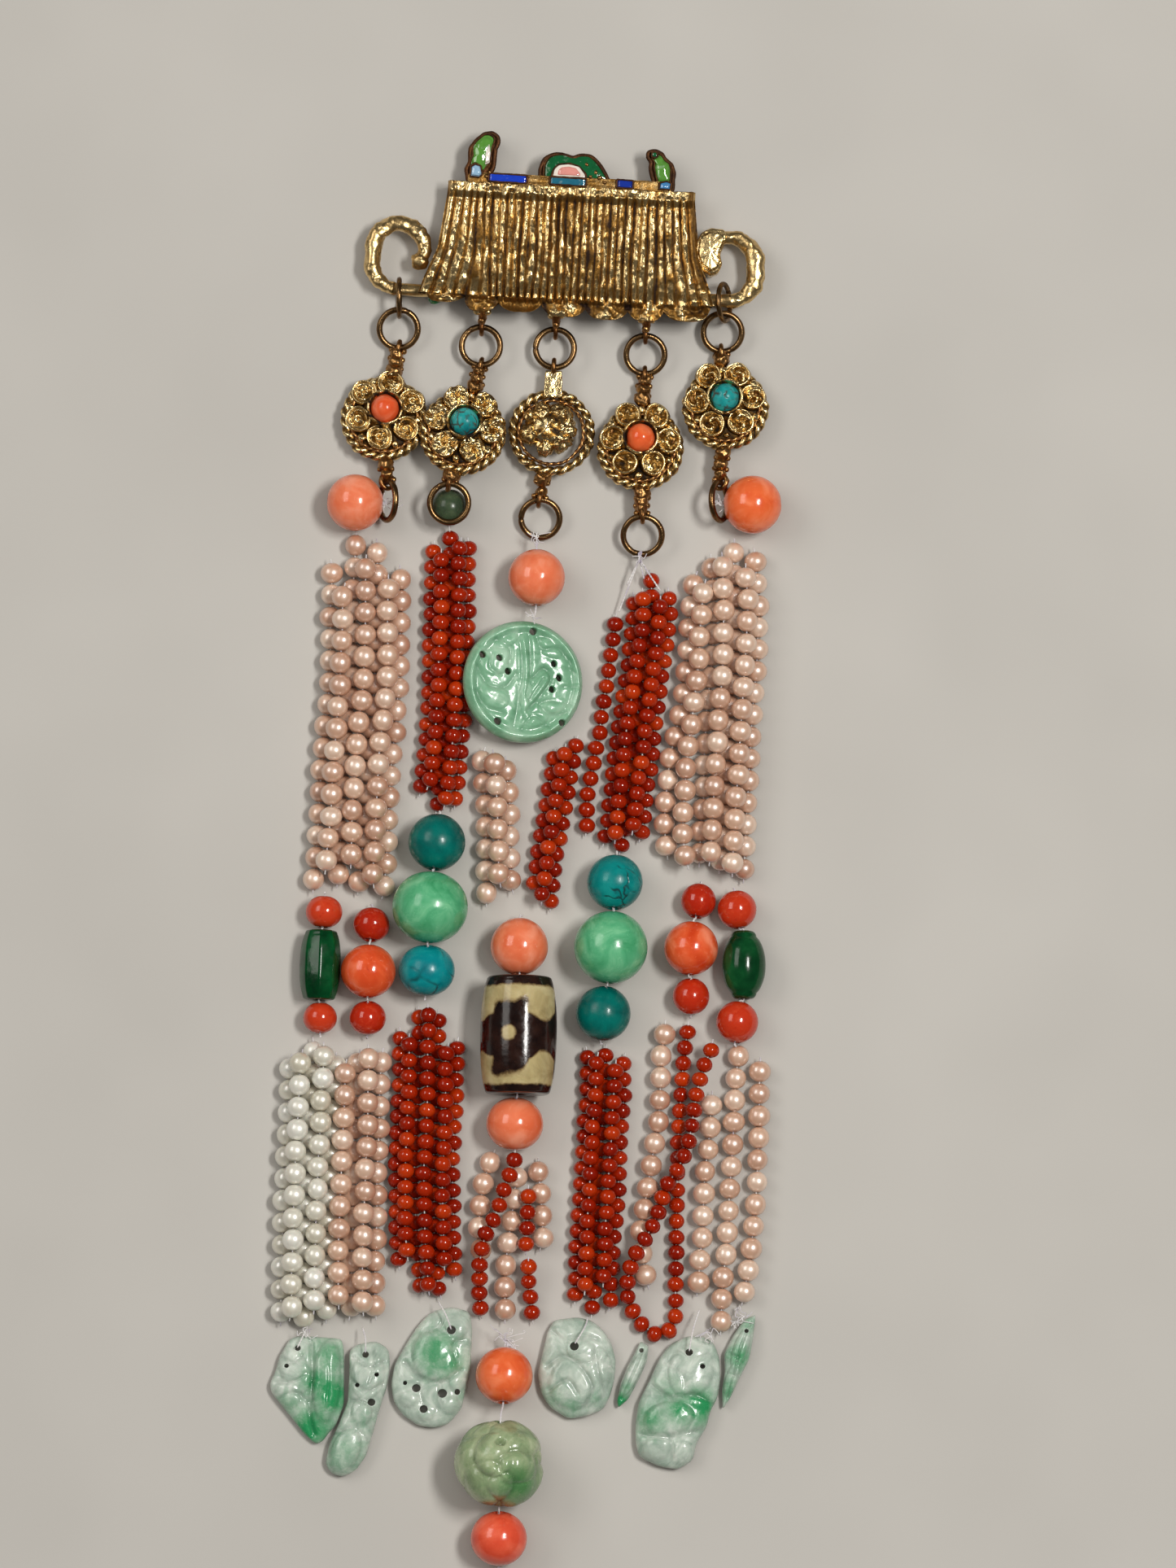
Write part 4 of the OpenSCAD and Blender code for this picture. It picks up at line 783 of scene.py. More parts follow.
c_cross = [[-0.6, -41.4, 3.8], [-1.0, -43.0, 4.3], [-1.9, -45.4, 4.1], [-2.8, -48, 4.0], [-3.6, -50.4, 3.9],
           [-4.8, -53, 4.2], [-5.4, -56, 4.3], [-5.5, -58.6, 3.0], [-5.5, -61.4, 1.5], [-5.2, -63.6, 1.2]]
c_short = [[0.7, -55.6, 3.6], [1.0, -57.6, 2.4], [1.1, -60, 1.5], [1.4, -62, 1.2], [1.2, -64.4, 1.2]]


def on_floor(kind, lanes, mat=0):
    return [(kind, floor_path(lane), mat) for lane in lanes]


def over(kind, *rows):
    """Strings that lie on two lanes each, from rows of (lane, lane, first y, last y)."""
    r = PEARL if kind == "pearl" else CORAL
    return [(kind, valley_path(a, b, y0, y1, r), 0) for a, b, y0, y1 in rows]


def stacked(kind, lanes, *spans):
    """Strings in lanes, and over each pair of neighbours one that runs along its span of y."""
    return on_floor(kind, lanes) + over(kind, *((a, b, *span) for a, b, span in zip(lanes, lanes[1:], spans)))


PEACH_PEARLS, WHITE_PEARLS = ([PEACH], "peach_pearl"), ([WHITE], "white_pearl")
RED_CORALS, MIXED = ([RED], "coral_red"), ([RED, PEACH], "coral_red")
BUNDLES = [
    ("pearls_a_upper", stacked("pearl", a_upper, (36.0, -4.6), (40.0, -4.0), (36.6, -6.0)), PEACH_PEARLS),
    ("corals_b_upper", stacked("coral", b_upper, (40.6, 7.0), (41.4, 5.2)), RED_CORALS),
    ("pearls_c_upper", stacked("pearl", c_pearls, (13.0, -6.0)), PEACH_PEARLS),
    ("corals_c_upper", stacked("coral", c_corals, (13.2, -7.6)), RED_CORALS),
    ("corals_d_upper",
     on_floor("coral", [d_bulge]) + stacked("coral", d_upper, (34.6, 0.4), (34.0, 1.0)), RED_CORALS),
    ("pearls_e_upper",
     stacked("pearl", [e_bulge, *e_upper], (35.4, -2.8), (39.6, -3.0), (37.6, -4.0)), PEACH_PEARLS),
    ("pearls_a_lower_left", stacked("pearl", a_low_left, (-27.4, -64.4), (-27.0, -63.0)), WHITE_PEARLS),
    ("pearls_a_lower_right",
     on_floor("pearl", a_low_right) + over("pearl", (a_low_left[2], a_low_right[0], -29.0, -62.6),
                                           (*a_low_right, -27.0, -63.6)), PEACH_PEARLS),
    ("corals_b_lower", stacked("coral", b_lower, (-25.4, -56.2), (-21.8, -60.4), (-26.6, -57.4)), RED_CORALS),
    ("mixed_c_lower",
     on_floor("pearl", [c_left, c_middle, c_right], 1) + over("coral", (c_middle, c_right, -46.2, -55.0))
     + [("coral", smooth(c_cross), 0), ("coral", smooth(c_short), 0)], MIXED),
    ("corals_d_lower", stacked("coral", d_lower, (-27.8, -61.0), (-28.6, -60.0)), RED_CORALS),
    ("corals_e_lower", [("coral", smooth(e_loop), 0)], RED_CORALS),
    ("pearls_e_lower", on_floor("pearl", e_lower) + [("pearl", smooth(e_pearls), 0)], PEACH_PEARLS),
]
for seed, (name, strings, look) in enumerate(BUNDLES, 1):
    bundle(name, strings, *look, seed)

# Large beads

# Each bead of a column as (x, y, width, length, pitch, yaw)
column_a_left = [(-26.5, -9.0, 5.0, 4.3, 0, -4), (-27.0, -16.2, 5.5, 9.4, 0, -2),
                 (-27.0, -23.3, 4.6, 4.2, 0, 0)]
column_a_right = [(-20.1, -10.7, 5.0, 4.6, -12, -4), (-20.5, -17.1, 7.4, 7.2, 0, -2),
                  (-20.6, -23.3, 5.0, 4.5, 12, -1)]
column_b = [(-11.3, 0.3, 7.7, 7.7, -9, -6), (-12.2, -8.6, 10.2, 9.6, 0, -4),
            (-12.65, -17.0, 7.6, 6.7, 12, -3)]
column_c = [(-0.2, -13.8, 7.8, 7.8, -10, 0), (-0.3, -25.9, 10.3, 15.8, 0, -1),
            (-0.8, -37.7, 7.7, 7.0, 10, -2)]
column_d = [(12.65, -5.1, 7.5, 7.5, -9, -4), (12.1, -14.0, 9.9, 9.8, 0, -5), (11.1, -22.8, 7.4, 7.4, 9, -6)]
column_e_left = [(23.9, -7.5, 4.8, 4.8, -10, -9), (22.9, -14.0, 7.3, 7.3, 0, -5),
                 (22.9, -20.4, 5.0, 5.0, 10, 0)]
column_e_right = [(29.1, -8.7, 5.3, 5.3, 0, 7), (30.0, -16.2, 5.9, 9.2, 0, 0), (29.1, -23.9, 5.7, 5.7, 0, -7)]
column_end = [(-2.2, -71.5, 7.7, 7.7, -12, -2), (-2.75, -83.4, 12.3, 12.3, 8, -1),
              (-2.9, -93.3, 7.6, 7.3, 16, 0)]


def bead_place(b):
    x, y, w, _, pitch, yaw = b
    return LAID @ move(x, y, w / 2 + CLEAR) @ spin("z", yaw) @ spin("x", pitch) @ spin("x", 90)


BORE = 0.6


def big_bead(shape, b, seed, segs=56, rings=36, **vals):
    """A drilled bead of the row b, slightly out of true."""
    v, q = turned(bead_profile(b[2], b[3], BORE, rings, lip=0.22), segs)
    v = v - unit(v) * (np.abs(noise(v, b[2] * 0.5, seed)) * 0.05)[:, None]
    shape.add(put(bead_place(b), v), q, **vals)


SINGLES = [
    ("coral_left", (-22.4, 46.4, 7.7, 7.7, 0, -95), SALMON, "coral_pink"),
    ("coral_right", (31.25, 46.1, 7.9, 7.9, 0, 95), SALMON_ORANGE, "coral_pink"),
    ("coral_middle", (2.1, 36.2, 7.7, 7.7, 0, 0), SALMON, "coral_pink"),
    ("turquoise_b_upper", column_b[0], TEAL, "turquoise"),
    ("jade_b", column_b[1], JADE_GREEN, "green_jade"),
    ("turquoise_b_lower", column_b[2], TEAL_BRIGHT, "turquoise"),
    ("turquoise_d_upper", column_d[0], TEAL_CRACKED, "turquoise"),
    ("jade_d", column_d[1], JADE_GREEN, "green_jade"),
    ("turquoise_d_lower", column_d[2], TEAL, "turquoise"),
    ("coral_a", column_a_right[1], SALMON_CLOUDED, "coral_pink"),
    ("coral_c_upper", column_c[0], SALMON, "coral_pink"),
    ("coral_c_lower", column_c[2], SALMON, "coral_pink"),
    ("coral_e", column_e_left[1], SALMON_CLOUDED, "coral_pink"),
    ("coral_end_upper", column_end[0], SALMON_ORANGE, "coral_pink"),
    ("coral_end_lower", column_end[2], SALMON_DEEP, "coral_pink"),
    ("green_bead", (-9.7, 45.9, 5.0, 5.0, 0, 0), GREEN_DARK, "dark_green_stone"),
]
for seed, (name, row, material, slot) in enumerate(SINGLES, 1):
    bead = Shape()
    big_bead(bead, row, seed)
    bead.piece(name, "drilled", [material])

smalls = Shape()
small_rows = [c[k] for c in (column_a_left, column_a_right, column_e_left, column_e_right) for k in (0, 2)]
for k, (row, tone) in enumerate(zip(small_rows, (0.75, 0.7, 0.2, 0.35, 0.25, 0.45, 0.6, 0.6))):
    big_bead(smalls, row, 30 + k, segs=40, rings=26, tone=tone)
smalls.piece("small_corals", "drilled", [RED_BIG])


def barrel_profile(w, l, end_w, rows, sharp=0.5, power=2.4):
    """Wall of a barrel bead with rounded shoulders."""
    t = np.linspace(-1, 1, rows)
    y = t * (l / 2 - sharp)
    bulge = end_w / 2 + (w - end_w) / 2 * (1 - np.abs(t) ** power) ** 0.8
    wall = list(zip(bulge, y))
    bend = np.linspace(0.3, 1.45, 5)
    corner = [(end_w / 2 - sharp * (1 - math.cos(a)), l / 2 - sharp + sharp * math.sin(a)) for a in bend]
    top = [*corner, (0.85, l / 2), (BORE, l / 2 - 0.2), (BORE - 0.02, l / 4)]
    low = [(r, -z) for r, z in top[::-1]]
    return np.array(low + wall + top)


def barrel(name, b, end_w, material, segs, rows, change=None, shoulder=(0.5, 2.4)):
    """A drilled barrel of the row b; change gives it other points or values to store on them."""
    v, q = turned(barrel_profile(b[2], b[3], end_w, rows, *shoulder), segs)
    vals = change(v) if change else {}
    v = vals.pop("v", v)
    s = Shape()
    place = LAID @ move(b[0], b[1], b[2] / 2 + CLEAR) @ spin("z", b[5]) @ spin("x", 90)
    s.add(put(place, v), q, **vals)
    s.piece(name, "turned", [material])


def cross_pattern(v):
    """Dark end bands and a dark belt that widens to three rounded crosses, each with a pale eye."""
    half, radius = 7.9, 5.15
    turn = np.degrees(np.arctan2(v[:, 0], v[:, 1]))  # 0 faces up, positive to the right
    y = -v[:, 2] / half
    wave = 0.05 * noise(v, 2.0, 4)
    cell = (turn + 15 + 60) % 120 - 60  # degrees from the nearest cross
    belt_top = 0.36 - 0.14 * ease((np.abs(cell) - 30) / 25)
    belt_low = -0.42 + 0.12 * ease((np.abs(cell) - 30) / 25)
    belt = np.minimum(belt_top - y, y - belt_low) + wave
    across, up = np.abs(cell) / 29, np.abs(y + 0.05) / 0.66
    cross = 0.34 * (1 - (across**5 + up**5) ** 0.2) + wave
    bands = np.where(y > 0, y - 0.82, -0.87 - y) + wave * 0.5
    eye = np.hypot(cell / 57.3 * radius, y * half) / half - 0.13
    dark = np.minimum(np.maximum(np.maximum(belt, cross), bands), eye)
    return {"tint": np.clip(0.5 + dark * 4.0, 0, 1)}


barrel("pattern_barrel", column_c[1], 8.8, PATTERN, 132, 84, cross_pattern)


def eight_facets(v):
    """Flattens the wall into eight worn facets."""
    a = np.arctan2(v[:, 1], v[:, 0])
    r = np.hypot(v[:, 0], v[:, 1])
    step = math.pi / 4
    flat = math.cos(step / 2) / np.cos((a % step) - step / 2)
    k = np.where(r > 1.2, 1 + (flat - 1) * 0.85, 1.0) * (1 - 0.012 * np.abs(noise(v, 1.5, 3)))
    return {"v": v * np.stack([k, k, np.ones_like(k)], -1)}


barrel("barrel_a", column_a_left[1], 4.4, GREEN_FACETED, 64, 30, eight_facets)
barrel("barrel_e", column_e_right[1], 3.4, GREEN_OVAL, 56, 30, shoulder=(0.8, 2.1))


def carved_ball():
    """A ball with broad swirling hollows cut into it and a drilled spot on its upper side."""
    b = column_end[1]
    segs, rings = 120, 80
    v, q = turned(bead_profile(b[2], b[3], BORE, rings, lip=0.3), segs)
    r = np.linalg.norm(v, axis=1)
    n = v / r[:, None]
    right, up, high = n[:, 0], -n[:, 2], n[:, 1]
    bend = noise(n * 3.0, 1.7, 5)
    turn = np.arctan2(up + 0.12, right - 0.05)
    away = np.hypot(up + 0.12, right - 0.05)
    sweep = np.abs(np.sin(1.5 * turn + 3.4 * away + 0.9 * bend)) ** 0.55
    lobes = np.abs(np.sin(2.0 * turn - 4.6 * away + 1.2 * bend + 0.8)) ** 0.5
    body = np.where(r > 5.0, 1.0, 0.0)
    cut = ((1 - sweep) * 0.6 + (1 - lobes) * 0.4) * body * ease((1.25 - np.abs(n[:, 2])) / 0.3)
    hollow = (1 - sweep) * body
    spot = np.linalg.norm(n - [0.02, 0.80, -0.60], axis=1)
    pit = 1.4 * ease((0.13 - spot) / 0.05)
    dish = 0.2 * ease((0.26 - spot) / 0.12)
    v = v - n * (cut * 1.1 + pit + dish + 0.05 * np.abs(noise(v, 1.2, 5)))[:, None]
    s = Shape()
    green = np.clip(0.12 + 0.75 * np.exp(-((right - 0.45) ** 2 + (up + 0.45) ** 2) / 0.3), 0, 1)
    # painted shade: the hollows and the drilled pit are darkened through their depth value, which fades out
    # on the lower side
    deep = np.clip(hollow * 0.8 + pit, 0, 1) * ease((high + 0.9) / 0.3)
    s.add(put(bead_place(b), v), q, deep=deep, tint=green)
    s.piece("carved_ball", "swirls", [JADE_GREY])


carved_ball()

# Carved jade: reliefs over an outline


def resampled(outline, count, soften=3):
    """A smooth closed outline with count points."""
    p = np.asarray(outline, float)
    p = np.concatenate([p, p[:1]])
    q = points_at(p, np.linspace(0, lengths(p)[-1], count, endpoint=False))
    for _ in range(soften):
        q = (np.roll(q, 1, 0) + 2 * q + np.roll(q, -1, 0)) / 4
    return q


def line_distance(xy, pts):
    """Distance of each point of xy from a polyline."""
    best = np.full(len(xy), 1e9)
    pts = np.asarray(pts, float)
    for a, b in zip(pts[:-1], pts[1:]):
        ab = b - a
        t = np.clip(((xy - a) @ ab) / (ab @ ab), 0, 1)
        best = np.minimum(best, np.linalg.norm(xy - a - t[:, None] * ab, axis=1))
    return best


def carve(xy, grooves, bosses):
    """Height change and depth of cut from grooves of (points, width, depth) and bosses of
    (x, y, half length, half width, turn, height). The depth of cut, along the grooves and round the foot
    of each boss, is where the jade gets painted shade."""
    h = np.zeros(len(xy))
    # deep: where painted shade darkens the jade, round the foot of each boss and along each groove
    deep = np.zeros(len(xy))
    for x, y, rx, ry, turn, high in bosses:
        c, s = math.cos(math.radians(turn)), math.sin(math.radians(turn))
        u, w = (xy[:, 0] - x) * c + (xy[:, 1] - y) * s, -(xy[:, 0] - x) * s + (xy[:, 1] - y) * c
        k = (u / rx) ** 2 + (w / ry) ** 2
        below, dome = np.maximum(h, 0), high * np.sqrt(np.clip(1 - k, 0, 1))
        h = np.where(k < 1, below * 0.5 + dome, below)
        deep = np.maximum(deep, 0.4 * np.exp(-((k - 1) / 0.18) ** 2))
    for pts, wide, down in grooves:
        if len(pts) > 2:
            pts = smooth([[*p, 0] for p in pts], 5)[:, :2]
        g = np.exp(-(line_distance(xy, pts) / wide) ** 2)
        h = h - down * 0.8 * g
        deep = np.maximum(deep, g * min(1.0, down * 1.3))
    return h, deep


def relief(centre, outline, thick, top, grooves, bosses, greens=(), around=120, rows=26, seed=0, edge=3.2,
           base=0.1):
    """A closed carved plaque: the outline shrinks towards centre in rows of points over a rounded section."""
    out = resampled(outline, around)
    c = np.asarray(centre, float)
    s = 1 - np.linspace(0, 1, rows) ** 1.15 * 0.985
    ring_xy = c + (out - c)[None] * s[:, None, None]
    xy = ring_xy.reshape(-1, 2)
    t = np.repeat(s, around)
    rise = (1 - t**edge) ** 0.5
    h, deep = carve(xy, grooves, bosses)
    grain = 0.09 * rough(np.c_[xy, np.zeros(len(xy))], 1.6, seed)
    z_top = thick * (0.42 + 0.58 * rise) + (h + grain) * np.clip(rise * 1.6, 0, 1)
    z_top = np.clip(z_top, thick * 0.3, top)
    z_low = thick * 0.42 * (1 - rise) * 0.9
    n = rows * around
    tips = [[*c, z_top[-around:].mean() + base], [*c, base]]
    v = np.concatenate([np.c_[xy, z_top + base], np.c_[xy, z_low + base], tips])
    side, ring = grid(rows, around, wrap=True), np.arange(around)
    faces = [side, side[:, ::-1] + n, band(ring, ring + n)[:, ::-1], fan(ring + n - around, 2 * n),
             fan(ring + 2 * n - around, 2 * n + 1, flip=True)]
    tint = np.zeros(len(v))
    for x, y, r, amount in greens:
        tint = np.maximum(tint, amount * np.exp(-(np.hypot(v[:, 0] - x, v[:, 1] - y) / r) ** 2))
    deep = np.concatenate([deep, np.zeros(n), [0, 0]])
    return v, faces, {"tint": tint, "deep": np.clip(deep, 0, 1)}


def holes_shape(place, holes):
    """Round bars that stand for drilled holes of (x, y, radius) and reach well past the jade both ways."""
    s = Shape()
    sides, reach = 20, 10.0
    a, ring = angles(sides), np.arange(sides)
    for k, (x, y, r) in enumerate(holes):
        xy = np.c_[x + r * np.cos(a) * (1 + 0.08 * math.sin(k)), y + r * np.sin(a)]
        ends = [np.c_[xy, np.full(sides, z)] for z in (-reach, reach)]
        v = np.concatenate([*ends, [[x, y, -reach], [x, y, reach]]])
        faces = [grid(2, sides, wrap=True), fan(ring, 2 * sides, flip=True), fan(ring + sides, 2 * sides + 1)]
        s.add(put(place, v), faces)
    return s


PENDANTS = {
    "pendant_a_leaf": dict(
        at=(-28.7, -73.3), thick=2.3, top=3.35, centre=(0.8, 1.2),
        outline=[[-2.3, 6.9], [-0.8, 7.3], [4.7, 6.9], [5.0, 5.4], [5.0, -2.0], [3.9, -4.8], [2.8, -5.9],
                 [2.2, -6.9], [1.2, -7.3], [-0.3, -5.9], [-1.9, -3.9], [-4.8, -0.3], [-5.0, 0.8], [-4.1, 2.8],
                 [-3.7, 4.5]],
        bosses=[(2.7, 1.2, 1.9, 5.6, -4, 0.75), (-1.6, 2.6, 1.9, 3.2, 25, 0.4),
                (-2.6, -0.6, 1.6, 2.0, 40, 0.4)],
        grooves=[([[0.6, 6.4], [0.8, 2.0], [0.4, -3.0], [1.0, -6.0]], 0.35, 0.6),
                 ([[-3.4, 4.4], [-2.0, 3.6], [-0.6, 4.6]], 0.25, 0.45),
                 ([[-4.2, 1.0], [-2.0, 1.0], [0, 2.2]], 0.22, 0.4),
                 ([[-3.6, -1.0], [-1.6, -0.4], [0.2, -1.6]], 0.22, 0.4),
                 ([[2.4, 6], [3.0, 2], [2.6, -3]], 0.16, 0.2)],
        holes=[(-1.2, 5.6, 0.4), (-2.7, 3.2, 0.3)],
        greens=[(3.0, 4.2, 3.2, 0.65), (3.4, -0.6, 3.0, 1.0), (1.4, 1.0, 2.4, 0.85), (0.6, -5.2, 3.2, 0.95),
                (-2.6, -2.4, 2.4, 0.5)]),
    "pendant_a_gourd": dict(
        at=(-21.9, -75.9), thick=2.7, top=3.7, centre=(0.8, 1.2),
        outline=[[-1.1, 7.9], [-0.2, 8.7], [2.5, 9.2], [4.2, 8.1], [4.4, 5.8], [3.9, 2.8], [3.0, 0],
                 [2.0, -3.5], [1.2, -6.2], [-0.2, -8.2], [-2.1, -9.1], [-3.6, -8.5], [-4.3, -7.3],
                 [-3.8, -4.8], [-2.6, -2.2], [-1.3, 1.0], [-1.1, 5]],
        bosses=[(-1.6, -5.6, 1.9, 3.1, -22, 0.6), (1.4, 4.4, 2.2, 3.2, -10, 0.4),
                (0.6, -0.4, 1.4, 1.8, 0, 0.5)],
        grooves=[([[-0.6, 7.0], [1.4, 5.6], [3.6, 6.4]], 0.22, 0.5),
                 ([[-0.9, 4.0], [1.2, 2.4], [3.4, 3.4]], 0.25, 0.5),
                 ([[-1.0, 1.2], [1.0, 0.8], [2.8, -0.6]], 0.25, 0.5),
                 ([[-3.0, -3.2], [-0.6, -2.6], [1.4, -4.0]], 0.22, 0.4),
                 ([[2.2, 8.4], [2.4, 6.0], [1.6, 3.4]], 0.18, 0.4)],
        holes=[(1.1, 7.3, 0.45), (1.9, 0.9, 0.5), (2.6, 4.6, 0.3), (0.0, 3.2, 0.3)],
        greens=[(-1.8, -6.0, 3.8, 0.42), (0.6, -1.6, 3.0, 0.24), (0.8, 2.6, 2.2, 0.08)]),
    "pendant_b_fruit": dict(
        at=(-11.9, -70.2), thick=2.5, top=3.55, centre=(0.2, -0.4),
        outline=[[-0.8, 6.8], [0.4, 7.6], [2.6, 8.1], [5.1, 7.4], [5.4, 5.0], [5.2, 0], [4.3, -4.0],
                 [4.0, -5.6], [2.2, -7.7], [0.2, -8.2], [-1.8, -7.9], [-4.0, -6.4], [-5.2, -4.5],
                 [-5.5, -2.2], [-5.0, 0.4], [-3.4, 3.2], [-2.0, 5.4]],
        bosses=[(0.4, 1.4, 3.0, 3.6, 20, 0.65), (-3.2, -4.4, 1.2, 1.1, 0, 0.4),
                (-0.8, -6.4, 1.1, 0.9, 0, 0.4), (2.6, -5.2, 1.2, 1.1, 0, 0.4), (3.4, -1.8, 1.2, 1.6, 0, 0.35),
                (3.6, 5.4, 1.3, 1.5, 0, 0.3)],
        grooves=[([[-3.6, 0.6], [-1.6, -1.6], [1.6, -2.0], [4.0, -0.4]], 0.3, 0.6),
                 ([[1.6, 7.2], [1.0, 5.4], [-1.0, 4.6]], 0.22, 0.5),
                 ([[-1.8, -2.4], [-1.2, -5.0]], 0.25, 0.4), ([[1.2, -2.4], [0.8, -5.8]], 0.25, 0.4),
                 ([[4.4, 3.6], [2.8, 3.0], [3.2, 0.8]], 0.2, 0.4)],
        holes=[(2.6, 4.9, 0.6), (-2.1, -2.9, 0.55), (1.4, -3.6, 0.6), (-1.1, -5.7, 0.55), (3.4, -3.4, 0.4),
               (-3.6, -2.2, 0.3)],
        greens=[(0.8, 1.8, 3.4, 0.78), (2.4, 0.6, 2.6, 0.7), (-1.4, 2.8, 2.4, 0.4), (4.2, -4.0, 1.6, 0.3)]),
    "pendant_d_shell": dict(
        at=(7.4, -70.8), thick=2.7, top=3.75, centre=(0.1, 0.4),
        outline=[[-2.0, 7.0], [0.2, 7.3], [2.2, 6.8], [3.7, 5.5], [4.8, 3.7], [5.4, 1.5], [5.2, -1.1],
                 [4.6, -3.3], [3.7, -5.1], [1.5, -6.0], [-0.9, -6.4], [-3.4, -4.9], [-4.7, -2.9],
                 [-5.1, -0.3], [-4.4, 2.8], [-3.8, 5.4], [-2.9, 6.9]],
        bosses=[(0.4, -1.4, 4.2, 3.6, 30, 0.55), (0.8, 2.6, 2.2, 1.5, -20, 0.5),
                (3.6, 0.6, 1.2, 2.6, 10, 0.4)],
        grooves=[([[-3.2, 5.4], [-1.6, 4.2], [0.8, 4.8], [3.0, 4.2]], 0.25, 0.5),
                 ([[-4.0, 0.6], [-1.8, 2.0], [0.6, 0.6], [2.2, -2.2], [1.2, -4.8]], 0.28, 0.6),
                 ([[-3.6, -2.6], [-1.2, -1.2], [0.2, -3.0]], 0.25, 0.5),
                 ([[2.6, 2.8], [3.0, 0], [3.8, -2.6]], 0.22, 0.5), ([[4.6, 2.4], [3.6, 1.4]], 0.16, 0.35),
                 ([[4.9, 0.4], [3.8, 0.0]], 0.16, 0.35), ([[4.8, -1.6], [3.8, -1.4]], 0.16, 0.35)],
        holes=[(-0.2, 3.3, 0.6)],
        greens=[(-3.6, -3.6, 2.4, 0.36), (-0.6, -5.0, 2.2, 0.34), (2.8, -3.6, 1.4, 0.3)]),
    "pendant_e_blade": dict(
        at=(15.3, -71.1), thick=2.1, top=3.15, centre=(-0.4, -0.2),
        outline=[[0.8, 4.4], [1.9, 3.8], [1.7, 1.8], [0.6, -0.8], [-0.9, -3.5], [-2.2, -4.6], [-2.4, -3.7],
                 [-1.9, -1.3], [-1.0, 0.9], [0.0, 2.8]],
        bosses=[(-0.3, -0.2, 0.9, 3.4, -28, 0.5)],
        grooves=[([[1.1, 3.2], [-0.2, 0.0], [-1.7, -3.4]], 0.18, 0.35)],
        holes=[(0.9, 3.1, 0.3)], greens=[(-1.9, -4.0, 1.7, 1.0), (-0.9, -2.0, 1.2, 0.45)]),
    "pendant_e_gourd": dict(
        at=(21.0, -75.0), thick=2.9, top=3.95, centre=(0.0, -0.6),
        outline=[[-2.3, 6.1], [-1.0, 7.8], [1.2, 8.9], [3.2, 9.0], [4.9, 8.1], [5.7, 6.0], [5.8, 3.2],
                 [5.4, 0.6], [4.4, -1.2], [4.0, -3.2], [2.6, -5.4], [2.1, -7.8], [0, -9.0], [-2.6, -8.5],
                 [-5.1, -7.3], [-5.6, -5.6], [-5.6, -2.6], [-5.2, 0], [-3.8, 2.8]],
        bosses=[(1.8, 4.2, 3.0, 3.6, -18, 0.5), (-1.2, -2.2, 3.4, 2.2, 10, 0.6),
                (-2.8, -6.2, 2.0, 1.6, 20, 0.45), (0.8, -6.8, 1.5, 1.5, 0, 0.4)],
        grooves=[([[-3.4, 2.2], [-0.8, 0.6], [2.2, 1.0], [4.8, -0.2]], 0.32, 0.6),
                 ([[-5.0, -4.2], [-2.0, -4.8], [1.4, -4.2], [3.4, -3.6]], 0.28, 0.55),
                 ([[0.6, 8.0], [1.8, 6.2], [4.4, 6.6]], 0.2, 0.4), ([[-0.8, -5.0], [-0.8, -8.0]], 0.22, 0.4),
                 ([[-1.6, 5.4], [0.6, 3.8], [1.0, 2.0]], 0.2, 0.35)],
        holes=[(1.6, 6.7, 0.5), (3.4, 4.8, 0.35)],
        greens=[(-3.6, -2.2, 2.8, 0.62), (0.6, -1.0, 2.6, 0.8), (3.0, -0.6, 2.6, 0.95),
                (-1.0, 1.6, 2.6, 0.4)]),
    "pendant_e_twig": dict(
        at=(29.3, -70.0), thick=2.1, top=3.15, centre=(-0.2, 0.6),
        outline=[[0.8, 6.2], [2.3, 6.9], [1.9, 3.6], [1.4, 0.9], [0.1, -1.7], [-1.2, -4.4], [-2.2, -5.9],
                 [-2.3, -3.4], [-1.9, -0.8], [-2.0, 1.6], [-0.8, 4.0], [0.0, 5.2]],
        bosses=[(0.2, 2.2, 1.0, 3.0, -20, 0.45), (-1.0, -1.8, 0.8, 2.4, -18, 0.4)],
        grooves=[([[1.6, 5.8], [0.2, 2.4], [-0.6, -1.0], [-1.6, -4.4]], 0.18, 0.4),
                 ([[-1.4, 1.6], [0.0, 1.0]], 0.16, 0.35), ([[-1.6, -1.0], [-0.2, -1.6]], 0.16, 0.35)],
        holes=[(1.0, 4.6, 0.3)], greens=[(0.0, 1.0, 2.4, 0.62), (-1.4, -3.4, 2.0, 0.6),
                                         (1.4, 5.4, 1.6, 0.4)]),
}

for k, (name, d) in enumerate(PENDANTS.items()):
    place = LAID @ move(*d.pop("at"))
    holes = holes_shape(place, d.pop("holes"))
    v, faces, vals = relief(**d, seed=40 + k)
    s = Shape()
    s.add(put(place, v), faces, **vals)
    s.piece(name, "carved", [JADE_PALE], cut=holes)


